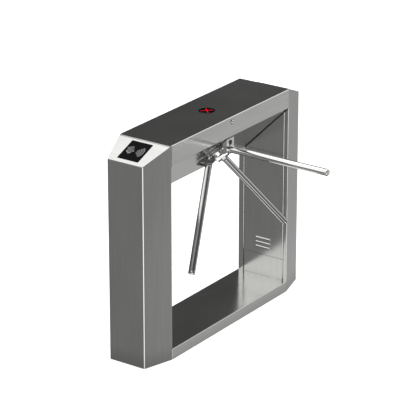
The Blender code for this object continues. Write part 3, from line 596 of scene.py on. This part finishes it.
def strip(
    inner: float, outer: float, start: float, end: float, steps: int = 16
) -> list[tuple[float, float]]:
    """Outline of a curved strip with round ends, about the origin."""
    half = (outer - inner) / 2
    mid = inner + half
    tips = [(mid * math.cos(math.radians(a)), mid * math.sin(math.radians(a))) for a in (start, end)]
    outline = bend((0, 0), outer, start, end, steps)
    outline += bend(tips[1], half, end, end + 180, 6)[1:-1]
    outline += bend((0, 0), inner, end, start, steps)
    return outline + bend(tips[0], half, start + 180, start + 360, 6)[1:-1]


def slab(width: float, length: float, radius: float) -> list[tuple[float, float]]:
    """Outline of a rectangle about the origin with round corners."""
    outline = []
    signs = ((-1, -1), (1, -1), (1, 1), (-1, 1))
    for index, (sx, sy) in enumerate(signs):
        centre = (sx * (width / 2 - radius), sy * (length / 2 - radius))
        outline += bend(centre, radius, 180 + 90 * index, 270 + 90 * index, 5)
    return outline


def swept(outline: Iterable[tuple[float, float]], reach: float, steps: int = 8) -> bmesh.types.BMesh:
    """A section carried along X, and turned back to the face behind it at both ends.

    Args:
        outline: The section's points as (height, distance out of the face).
        reach: Half the length of the straight part.
        steps: Steps round each end.

    Returns:
        The closed solid, standing on the plane Z = 0 with its heights along Y.
    """
    bm = bmesh.new()
    rings = []
    for centre, start in ((-reach, -90), (reach, 0)):
        for step in range(steps + 1):
            angle = math.radians(start + 90 * step / steps)
            across, out = math.sin(angle), math.cos(angle)
            rings.append([bm.verts.new((centre + z * across, y, z * out)) for y, z in outline])
    for before, after in zip(rings, rings[1:]):
        for index in range(len(before)):
            bm.faces.new((before[index - 1], before[index], after[index], after[index - 1]))
    bm.faces.new(rings[0])
    bm.faces.new(rings[-1][::-1])
    bmesh.ops.remove_doubles(bm, verts=bm.verts[:], dist=MERGE)
    return bm


def hexagon(across: float) -> list[tuple[float, float]]:
    """Outline of a hexagon by its width across the flats."""
    return bend((0, 0), across / math.sqrt(3), 0, 300, 5)


def together(shapes: Iterable[bmesh.types.BMesh]) -> bmesh.types.BMesh:
    """Several shapes as one mesh of separate shells."""
    whole = bmesh.new()
    for shape in shapes:
        mesh = bpy.data.meshes.new("part")
        shape.to_mesh(mesh)
        shape.free()
        whole.from_mesh(mesh)
        bpy.data.meshes.remove(mesh)
    return whole


def placed(bm: bmesh.types.BMesh, frame: Matrix) -> bmesh.types.BMesh:
    """Moves a shape into a frame."""
    bmesh.ops.transform(bm, matrix=frame, verts=bm.verts[:])
    return bm


# Widths of the bevels on refined edges

EDGE_SHEET = 0.00035
EDGE_CRISP = 0.0002
EDGE_FINE = 0.0003
EDGE_LIGHT = 0.0004
EDGE_DISC = 0.0005
EDGE_MILLED = 0.0006
EDGE_SOFT = 0.0008
EDGE_HUB = 0.0012
EDGE_CASE = 0.0015

# A bolt's washer, as shares of the head's height and width

WASHER_SHARE = 0.22
WASHER_REACH = 0.8


@dataclass
class Workshop:
    """Turns shapes into pieces that ride on the frame's bodies."""

    frame: dict
    count: int = 0
    bodies: dict[str, str] = field(default_factory=dict)

    def __post_init__(self) -> None:
        """Notes which body each CAD node is on."""
        for body, members in self.frame["record"]["behaviour"]["bodies"].items():
            for node in members:
                self.bodies[node] = body

    def node(self, name: str) -> bpy.types.Object:
        """The object of a CAD node."""
        return self.frame["nodes"][name]

    def joint(self, name: str) -> dict:
        """The record of a joint."""
        return next(joint for joint in self.frame["joints"] if joint["name"] == name)

    def piece(
        self, name: str, bm: bmesh.types.BMesh, finish: Finish, body: str, replaces: Sequence[str] = (),
    ) -> bpy.types.Object:
        """Makes a piece of a finished shape.

        Args:
            name: The piece's name.
            bm: Its shape, in place. It is used up.
            finish: What it is made of.
            body: The CAD body that it moves with.
            replaces: CAD nodes that it stands for.

        Returns:
            The piece's object.
        """
        bmesh.ops.recalc_face_normals(bm, faces=bm.faces[:])
        return self.keep(name, bm, finish, body, replaces)

    def keep(
        self, name: str, bm: bmesh.types.BMesh, finish: Finish, body: str, replaces: Sequence[str],
    ) -> bpy.types.Object:
        """Makes a piece as piece() does, from faces that already point outwards."""
        mesh = bpy.data.meshes.new(name)
        bm.to_mesh(mesh)
        bm.free()
        for layer in ("custom_normal", "sharp_edge"):
            if layer in mesh.attributes:
                mesh.attributes.remove(mesh.attributes[layer])
        mesh.materials.clear()
        mesh.materials.append(material_of(finish))
        mesh.shade_smooth()
        mesh.set_sharp_from_angle(angle=CREASE)
        obj = bpy.data.objects.new(name, mesh)
        bpy.context.scene.collection.objects.link(obj)
        weights = obj.modifiers.new("flat faces stay flat", "WEIGHTED_NORMAL")
        weights.keep_sharp = True
        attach(obj, body)
        if replaces:
            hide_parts(*replaces)
        self.count += 1
        LOG.info("made %s on %s", name, body)
        return obj

    def refined(
        self, node: str, finish: Finish, width: float = EDGE_SHEET, segments: int = 2
    ) -> bpy.types.Object:
        """A CAD node with its faces joined up and its sharp edges rounded.

        Args:
            node: The CAD node.
            finish: What it is made of.
            width: Width of the rounding.
            segments: Steps across the rounding.

        Returns:
            The piece that stands for the node.
        """
        bm = bmesh.new()
        bm.from_mesh(self.node(node).data)
        bmesh.ops.remove_doubles(bm, verts=bm.verts[:], dist=MERGE)
        bmesh.ops.dissolve_limit(bm, angle_limit=FLAT, verts=bm.verts[:], edges=bm.edges[:])
        rounded(bm, width, segments)
        return self.keep(f"{node}_finished", bm, finish, self.bodies[node], [node])

    def screw(
        self, name: str, frame: Matrix, body: str, across: float = 0.008, height: float = 0.005,
        finish: Finish = ZINC,
    ) -> bpy.types.Object:
        """A hexagon bolt head on a washer, standing on a face.

        Args:
            name: The piece's name.
            frame: Frame on the face, with +Z out of it.
            body: The CAD body that it moves with.
            across: Width across the head's flats.
            height: Height of the head.
            finish: What it is made of.

        Returns:
            The bolt's object.
        """
        seat = height * WASHER_SHARE
        washer = disc(across * WASHER_REACH, 0, seat, height * 0.05, 32)
        head = rounded(plate(hexagon(across), seat, height), height * 0.08)
        return self.piece(name, placed(together([washer, head]), frame), finish, body)


# Cabinet


@dataclass
class Cabinet:
    """The two columns, the plinth and beam between them, and the panels round the doors."""

    shop: Workshop
    anchor_across: float = 0.018
    anchor_height: float = 0.011
    shade_bead_width: float = 0.0036
    shade_bead_depth: float = 0.0014

    def build(self) -> None:
        """Makes every fixed sheet and what holds the cabinet down."""
        for end in End:
            self.column(end)
            self.anchors(end)
            self.black_rubber(end)
        self.shop.refined("plinth", SHEET_X)
        self.shop.refined("beam_shell", SHEET_X)

    def column(self, end: End) -> None:
        """Finishes one column's sheets and its foot plate."""
        for part in ("column_shell", "lower_panel", "upper_panel"):
            self.shop.refined(f"{end.value}_{part}", SHEET_Z)
        self.shop.refined(f"{end.value}_base_plate", ZINC, EDGE_MILLED)
        self.shop.refined(f"{end.value}_door_pin", MACHINED, EDGE_CRISP)

    def anchors(self, end: End) -> None:
        """Anchor bolts through the foot plate's two holes."""
        low, high = corners(f"{end.value}_base_plate")
        centre = middle(f"{end.value}_base_plate")
        spacing = (high.y - low.y) / 4
        for index, way in enumerate((-1, 1), 1):
            place = Vector((centre.x, centre.y + way * spacing, high.z))
            self.shop.screw(
                f"{end.value}_anchor_bolt_{index}", Matrix.Translation(place), "cabinet",
                self.anchor_across, self.anchor_height,
            )

    def black_rubber(self, end: End) -> None:
        """Black rubber bead at the end of the beam's 45 degree face against a column, a dark strip that
        stands as painted shade for the shadow line there.
        """
        beam = self.shop.node("beam_shell")
        face = Plane.of(beam, (0, -1, -1))
        frame = face.frame((1, 0, 0))
        into = frame.inverted()
        flat = [into @ vert.co for vert in beam.data.vertices]
        flat = [spot for spot in flat if abs(spot.z) < self.shade_bead_depth / 4]
        low, high = min(spot.y for spot in flat), max(spot.y for spot in flat)
        reach = max(spot.x for spot in flat) - self.shade_bead_depth / 2
        # painted shade: a black strip standing for the shadow line where the beam meets the column
        bead = block((self.shade_bead_depth, high - low, self.shade_bead_width), self.shade_bead_depth / 4)
        place = frame @ at(end.side * reach, (low + high) / 2, self.shade_bead_width / 2)
        self.shop.piece(f"{end.value}_beam_seal", placed(bead, place), RUBBER, "cabinet")


@dataclass
class ServiceDoor:
    """A louvred door with its pressed hoods."""

    shop: Workshop
    end: End
    hoods: int = 3
    hood_length: float = 0.086
    hood_proud: float = 0.0056
    hood_height: float = 0.0062
    hood_pitch: float = 0.0217
    hood_rise: float = 0.0415
    wall: float = 0.0012

    def build(self) -> None:
        """Makes the door and its hoods."""
        node = f"{self.end.value}_service_door"
        body = f"{self.end.value}_door"
        self.shop.refined(node, SHEET_Z)
        face = Plane.of(self.shop.node(node), (-self.end.side, 0, 0))
        low, high = corners(node)
        for index in range(self.hoods):
            level = low.z + self.hood_rise + self.hood_pitch * index
            place = Vector((face.centre.x, (low.y + high.y) / 2, level - self.hood_proud))
            outward = framed(place, Vector((-self.end.side, 0, 0)), (0, -self.end.side, 0))
            hood = placed(self.hood(), outward)
            self.shop.piece(f"{self.end.value}_door_louvre_{index + 1}", hood, SHEET_Y, body)

    def hood(self) -> bmesh.types.BMesh:
        """One pressed louvre hood in a face's frame: open below, and turned in at both ends."""
        quarter = [math.radians(90 * step / 8) for step in range(9)]
        shell = []
        for inset in (0.0, self.wall):
            height, proud = self.hood_height - inset, self.hood_proud - inset
            shell.append([(height * math.sin(t), proud * math.cos(t)) for t in quarter])
        outline = shell[0] + shell[1][::-1]
        return swept(outline, self.hood_length / 2 - self.hood_proud)


# Readers


@dataclass
class Reader:
    """Sloping reader face: a panel, its dark window and the card reader under it."""

    shop: Workshop
    end: End
    ink: float = 0.00015
    card: tuple[float, float] = (0.030, 0.040)
    card_lines: int = 5
    card_place: float = -0.024
    line: float = 0.0034
    wave_start: float = 0.009
    wave_pitch: float = 0.0074
    wave_spread: float = 44.0
    waves: int = 5
    wave_place: float = 0.0024
    card_tilt: float = 32.0
    thumb_width: float = 0.9
    thumb_height: tuple[float, float] = (1.5, 2.5)
    palm: tuple[float, float] = (0.45, 0.62)
    palm_sweep: tuple[float, float] = (200.0, 300.0)

    def build(self) -> None:
        """Makes the panel, the window and the sign printed on it."""
        name = self.end.value
        self.shop.refined(f"{name}_reader_panel", SHEET_Y)
        self.shop.refined(f"{name}_reader_window", GLASS, EDGE_LIGHT)
        self.shop.refined(f"{name}_reader_module", BLACK, EDGE_SOFT)
        face = Plane.of(self.shop.node(f"{name}_reader_window"), (0, 0, 1))
        frame = face.frame((0, self.end.side, 0))
        self.shop.piece(f"{name}_reader_sign", placed(self.sign(), frame), INK, "cabinet")

    def sign(self) -> bmesh.types.BMesh:
        """A held card and the waves of a contactless reader, in the window's frame."""
        shapes = self.held_card()
        for index in range(self.waves):
            inner = self.wave_start + index * self.wave_pitch
            outline = strip(inner, inner + self.line, -self.wave_spread, self.wave_spread)
            shapes.append(placed(plate(outline, 0, self.ink), at(self.wave_place)))
        return together(shapes)

    def held_card(self) -> list[bmesh.types.BMesh]:
        """A card drawn in lines, over the thumb and fingers that hold it."""
        width, length = self.card
        tilt = at(self.card_place, self.line) @ Matrix.Rotation(math.radians(self.card_tilt), 4, "Z")
        shapes = []
        pitch = length / self.card_lines
        for index in range(self.card_lines):
            level = (index - (self.card_lines - 1) / 2) * pitch
            line = plate(slab(width, self.line, self.line / 2), 0, self.ink)
            shapes.append(placed(line, tilt @ at(0, level)))
        low, high = (self.ink * share for share in self.thumb_height)
        thumb = plate(slab(width / 2, self.line * 2, self.line * self.thumb_width), low, high)
        shapes.append(placed(thumb, tilt @ at(-width / 4, -length / 2)))
        inner, outer = (width * share for share in self.palm)
        palm = plate(strip(inner, outer, *self.palm_sweep), 0, self.ink)
        shapes.append(placed(palm, at(self.card_place)))
        return shapes


# Lid


@dataclass
class Lid:
    """Lid of the beam, with the direction lamp and the lock."""

    shop: Workshop
    lamp_pitch: float = 0.0054
    lamp_radius: float = 0.0024
    lamp_rows: int = 11
    lamp_drop: float = 1.2
    lamp_curve: float = 1.56
    lamp_edge: float = 50.0
    lip: float = 0.0008
    rim_round: float = 0.0018
    cap_share: float = 0.86
    cap_slope: float = 56.0
    gasket: float = 0.0013
    gasket_span: tuple[float, float] = (-0.0017, -0.0009)
    gasket_round: float = 0.0003

    def build(self) -> None:
        """Makes the lid and what is set in it."""
        self.shop.refined("top_lid", SHEET_X)
        self.shop.refined("lid_hinge_pin", MACHINED, EDGE_CRISP)
        self.rim()
        self.cross()
        self.lock()

    def rim(self) -> None:
        """Black bezel of the direction lamp, rounded over its edge, and the dark disc in it."""
        rim = Round.of(self.shop.node("indicator_bezel"), (0, 0, 1))
        bore = Round.of(self.shop.node("indicator_lens"), (0, 0, 1)).radius + self.lip / 4
        top, seat = rim.length, rim.length - self.rim_round
        barrel = rim.radius - 3 * self.lip
        profile = [(bore, 0), (barrel, 0), (barrel, seat), (rim.radius, seat)]
        profile += bend((rim.radius - self.rim_round, seat), self.rim_round, 0, 90, 6)[1:]
        profile += [(bore + self.lip, top), (bore, top - self.lip)]
        shape = placed(turned(profile), rim.frame())
        self.shop.piece("indicator_rim", shape, BLACK, "lid", ["indicator_bezel"])
        self.shop.refined("indicator_lens", GLASS, EDGE_FINE)

    def cross(self) -> None:
        """Red cross of lamps on the dark disc."""
        face = Plane.of(self.shop.node("indicator_lens"), (0, 0, 1))
        half = (self.lamp_rows - 1) / 2
        lamps = []
        for diagonal in (45, 135):
            way = Matrix.Rotation(math.radians(diagonal), 4, "Z")
            for step in range(self.lamp_rows):
                lamps.append(placed(self.lamp(), way @ at((step - half) * self.lamp_pitch)))
        shape = placed(together(lamps), face.frame((1, 0, 0)))
        self.shop.piece("indicator_cross", shape, RED_LAMP, "lid")

    def lamp(self) -> bmesh.types.BMesh:
        """One lamp's cap: a low dome."""
        radius = self.lamp_radius
        dome = bend((0, -radius * self.lamp_drop), radius * self.lamp_curve, self.lamp_edge, 90, 4)
        profile = [(0, 0), (radius, 0), *dome]
        return turned(profile, 16)

    def lock(self) -> None:
        """Cam lock in the lid's front lip, with a gasket round it and a domed cap over its keyway."""
        self.shop.refined("lid_lock_barrel", CHROME, EDGE_FINE, 3)
        self.shop.refined("lid_lock_core", MACHINED, EDGE_CRISP)
        barrel = Round.of(self.shop.node("lid_lock_barrel"), (0, -1, 0))
        face = barrel.frame() @ at(0, 0, barrel.length)
        radius, rim = barrel.radius, self.gasket / 2
        black_rubber = ring(radius, radius + self.gasket, *self.gasket_span, self.gasket_round)
        self.shop.piece("lid_lock_gasket", placed(black_rubber, face), RUBBER, "lid")
        edge = radius * self.cap_share
        curve = edge / math.sin(math.radians(self.cap_slope))
        drop = curve * math.cos(math.radians(self.cap_slope))
        dome = bend((0, rim - drop), curve, 90 - self.cap_slope, 90, 10)
        profile = [(0, 0), (edge - rim, 0), (edge, rim / 2), *dome]
        self.shop.piece("lid_lock_cap", placed(turned(profile, PLAIN_STEPS), face), CHROME, "lid")


# Rotor


@dataclass
class Rotor:
    """Hub and arms: a tripod on an axis that leans 45 degrees."""

    shop: Workshop
    wall: float = 0.0015
    cap_length: float = 0.012
    groove: float = 0.0005
    tip_round: float = 0.005
    button_round: float = 0.0022
    collar: float = 0.0028
    collar_proud: float = 0.0011
    button_proud: float = 0.003

    def build(self) -> None:
        """Makes the hub and the three arms."""
        self.shop.refined("hub_disc", CHROME, EDGE_DISC, 3)
        self.shop.refined("hub_head", CHROME, EDGE_HUB, 4)
        for number in (1, 2, 3):
            self.arm(number)
            self.button(number)

    def way(self, number: int) -> Vector:
        """Direction of an arm from the hub."""
        return -Vector(self.shop.joint(f"release_{number}_press")["axis"])

    def arm(self, number: int) -> None:
        """One arm's tube with a domed cap, and the knuckle it is fixed to."""
        node = f"arm_{number}_tube"
        tube = Round.of(self.shop.node(node), self.way(number))
        body = self.shop.bodies[node]
        radius, tip, groove = tube.radius, tube.length, self.groove
        seam = tip - self.cap_length
        inner = radius - self.wall
        profile = [(inner, 0), (radius - groove, 0), (radius, groove), (radius, seam - groove)]
        profile += [(radius - groove, seam), (inner, seam)]
        self.shop.piece(f"{node}_finished", placed(turned(profile), tube.frame()), CHROME, body, [node])
        crest = self.tip_round
        profile = [(0, seam), (radius - groove, seam), (radius, seam + groove)]
        profile += [*bend((radius - crest, tip - crest), crest, 0, 90, 8), (0, tip)]
        cap = placed(turned(profile), tube.frame())
        self.shop.piece(f"arm_{number}_end_cap", cap, CHROME, body)
        self.shop.refined(f"arm_{number}_knuckle", CHROME, EDGE_MILLED, 3)
        self.shop.refined(f"arm_{number}_pivot_pin", MACHINED, EDGE_FINE)

    def button(self, number: int) -> None:
        """The black release button over an arm, in a bright collar on the horn's face."""
        node = f"release_button_{number}"
        button = Round.of(self.shop.node(node), self.way(number))
        radius, top, crest = button.radius, button.length, self.button_round
        profile = [(0, 0), (0, top), *bend((radius - crest, top - crest), crest, 90, 0, 6), (radius, 0)]
        shape = placed(turned(profile), button.frame())
        self.shop.piece(f"{node}_finished", shape, BLACK, self.shop.bodies[node], [node])
        inner = radius + self.groove
        collar = ring(inner, inner + self.collar, 0, self.collar_proud, self.collar_proud / 2)
        face = button.frame() @ at(0, 0, top - self.button_proud)
        self.shop.piece(f"release_collar_{number}", placed(collar, face), CHROME, "rotor")


# Mechanism


@dataclass
class Mechanism:
    """What carries, brakes, locks and counts the rotor inside the beam."""

    shop: Workshop
    bolt_count: int = 6
    bolt_ring: float = 0.042
    flange: float = 0.008

    def build(self) -> None:
        """Makes the plates, bearings, gears, locks and sensor."""
        for node in ("mechanism_plate", "rear_plate"):
            self.shop.refined(node, ZINC, EDGE_MILLED)
        self.shop.refined("bearing_housing", ENAMEL, EDGE_SOFT)
        for node in ("main_shaft", "front_bearing", "rear_bearing", "main_gear", "ratchet_wheel"):
            self.shop.refined(node, MACHINED, EDGE_FINE)
        self.shop.refined("sensor_disc", ZINC, EDGE_CRISP)
        self.shop.refined("damper_body", BLACK, EDGE_MILLED)
        self.shop.refined("damper_pinion", BRASS, EDGE_CRISP)
        self.shop.refined("count_sensor", BLACK, EDGE_MILLED)
        for side in ("left", "right"):
            self.shop.refined(f"{side}_solenoid", ENAMEL, EDGE_SOFT)
            self.shop.refined(f"{side}_plunger", MACHINED, EDGE_LIGHT)
            self.shop.refined(f"{side}_pawl", MACHINED, EDGE_LIGHT)
        self.bolts()

    def bolts(self) -> None:
        """Bolts through the bearing housing's flange into its plate."""
        inward = -Vector(self.shop.joint("rotor_spin")["axis"])
        housing = Round.of(self.shop.node("bearing_housing"), inward)
        for index in range(self.bolt_count):
            turn = Matrix.Rotation(math.tau * (index + 0.5) / self.bolt_count, 4, "Z")
            place = housing.frame() @ turn @ at(self.bolt_ring, 0, self.flange)
            self.shop.screw(f"housing_bolt_{index + 1}", place, "cabinet")


# Electrics


@dataclass
class Electrics:
    """Control unit and power supply in the columns."""

    shop: Workshop
    share: float = 0.8
    board: tuple[float, float] = (0.5, 0.12)
    board_thickness: float = 0.0016
    terminal_count: int = 8
    terminal_size: tuple[float, float] = (0.011, 0.009)
    terminal_place: float = -0.30
    terminal_fill: float = 0.92

    def build(self) -> None:
        """Makes both units with their boards and terminals."""
        self.unit("control_unit", End.FAR, BLACK)
        self.unit("power_supply", End.NEAR, ZINC)

    def unit(self, node: str, end: End, finish: Finish) -> None:
        """One unit: its case, a board on its face and a row of terminals.

        Args:
            node: The CAD node of the case.
            end: The end of the cabinet that it is in.
            finish: What the case is made of.
        """
        self.shop.refined(node, finish, EDGE_CASE, 3)
        face = Plane.of(self.shop.node(node), (-end.side, 0, 0))
        frame = face.frame((0, 1, 0))
        low, high = corners(node)
        width, height = (high.y - low.y) * self.share, high.z - low.z
        thick = self.board_thickness
        board = block((width, height * self.board[0], thick), thick / 4)
        board = placed(board, frame @ at(0, height * self.board[1], thick / 2))
        self.shop.piece(f"{node}_board", board, BOARD, "cabinet")
        pitch = width / self.terminal_count
        long, tall = self.terminal_size
        row = []
        for index in range(self.terminal_count):
            across = (index - (self.terminal_count - 1) / 2) * pitch
            place = frame @ at(across, height * self.terminal_place, tall / 2)
            row.append(placed(block((pitch * self.terminal_fill, long, tall), thick / 3), place))
        self.shop.piece(f"{node}_terminals", together(row), TERMINAL, "cabinet")


# Studio


@dataclass(frozen=True)
class Softbox:
    """A soft patch of light on the studio's wall, far from the object."""

    azimuth: float
    elevation: float
    core: float
    edge: float
    strength: float

    def direction(self) -> Vector:
        """Unit vector from the object to the patch's middle."""
        turn, rise = math.radians(self.azimuth), math.radians(self.elevation)
        return Vector((math.cos(rise) * math.cos(turn), math.cos(rise) * math.sin(turn), math.sin(rise)))


@dataclass
class Studio:
    """Plain pale floor, soft light from all round and the camera."""

    camera_azimuth: float = -144.87
    camera_elevation: float = 21.48
    camera_distance: float = 10.53
    aim: tuple[float, float, float] = (-0.052, 0.0, 0.587)
    lens: float = 214.6
    sensor: float = 36.0
    floor_reach: float = 30.0
    floor_glow: float = 0.72
    ambient: float = 0.075
    boxes: tuple[Softbox, ...] = (
        Softbox(226, -24, 18, 42, 1.38),
        Softbox(320, -25, 8, 36, 0.43),
        Softbox(14, -32, 10, 32, 0.36),
        Softbox(145, 30, 14, 30, 1.14),
        Softbox(150, -25, 15, 40, 0.13),
        Softbox(40, 80, 25, 45, 1.45),
        Softbox(333, 27, 16, 30, 1.1),
    )

    def build(self) -> None:
        """Makes the floor, the light and the camera."""
        self.floor()
        self.light()
        self.camera()

    def floor(self) -> None:
        """A wide pale floor that lights the room but isn't mirrored in the steel."""
        bm = bmesh.new()
        bmesh.ops.create_grid(bm, x_segments=2, y_segments=2, size=self.floor_reach)
        mesh = bpy.data.meshes.new("studio_floor")
        bm.to_mesh(mesh)
        bm.free()
        pen = Pen("pale floor")
        pen.set(Roughness=0.9, Specular_IOR_Level=0.0)
        pen.set(Emission_Strength=self.floor_glow, Emission_Color=(1, 1, 1, 1))
        pen.tint(pen.noise((2, 2, 2), 2), (0.9, 0.9, 0.9), (0.92, 0.92, 0.92))
        mesh.materials.append(pen.material)
        obj = bpy.data.objects.new("studio_floor", mesh)
        bpy.context.scene.collection.objects.link(obj)
        obj.visible_glossy = False
        obj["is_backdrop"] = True

    def light(self) -> None:
        """Soft boxes on a dim room, as the world's light."""
        world = bpy.data.worlds.new("studio")
        bpy.context.scene.world = world
        world.use_nodes = True
        tree = world.node_tree
        sky = tree.nodes["Background"]
        place = tree.nodes.new("ShaderNodeTexCoord")
        total = None
        for box in self.boxes:
            toward = tree.nodes.new("ShaderNodeVectorMath")
            toward.operation = "DOT_PRODUCT"
            toward.inputs[1].default_value = box.direction()
            tree.links.new(place.outputs["Generated"], toward.inputs[0])
            patch = tree.nodes.new("ShaderNodeMapRange")
            patch.interpolation_type = "SMOOTHSTEP"
            patch.inputs["From Min"].default_value = math.cos(math.radians(box.edge))
            patch.inputs["From Max"].default_value = math.cos(math.radians(box.core))
            patch.inputs["To Min"].default_value = 0.0
            patch.inputs["To Max"].default_value = box.strength
            tree.links.new(toward.outputs["Value"], patch.inputs["Value"])
            add = tree.nodes.new("ShaderNodeMath")
            add.operation = "ADD"
            add.inputs[1].default_value = self.ambient
            if total is not None:
                tree.links.new(total, add.inputs[1])
            tree.links.new(patch.outputs["Result"], add.inputs[0])
            total = add.outputs["Value"]
        tree.links.new(total, sky.inputs["Strength"])
        sky.inputs["Color"].default_value = (1, 1, 1, 1)

    def camera(self) -> None:
        """The camera, level and aimed at the middle of the cabinet."""
        view = Softbox(self.camera_azimuth, self.camera_elevation, 0, 0, 0).direction()
        data = bpy.data.cameras.new("camera")
        data.lens = self.lens
        data.sensor_width = self.sensor
        data.clip_end = 100.0
        obj = bpy.data.objects.new("camera", data)
        bpy.context.scene.collection.objects.link(obj)
        obj.location = Vector(self.aim) + view * self.camera_distance
        obj.rotation_euler = (-view).to_track_quat("-Z", "Y").to_euler()
        bpy.context.scene.camera = obj
        bpy.context.scene.view_settings.view_transform = "Standard"


def main() -> dict[str, list[list[float]]]:
    """Builds the turnstile's finish and its studio.

    Returns:
        The frame's box and the finished model's box.
    """
    logging.basicConfig(level=logging.INFO, format="%(name)s: %(message)s")
    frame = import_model()
    cad_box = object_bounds()
    shop = Workshop(frame)
    Cabinet(shop).build()
    for end in End:
        ServiceDoor(shop, end).build()
        Reader(shop, end).build()
    Lid(shop).build()
    Rotor(shop).build()
    Mechanism(shop).build()
    Electrics(shop).build()
    Studio().build()
    LOG.info("%d pieces", shop.count)
    sizes = {}
    for key, box in (("cad", cad_box), ("visual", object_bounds())):
        sizes[key] = [[float(value) for value in corner] for corner in box]
    return sizes


if __name__ == "__main__":
    main()
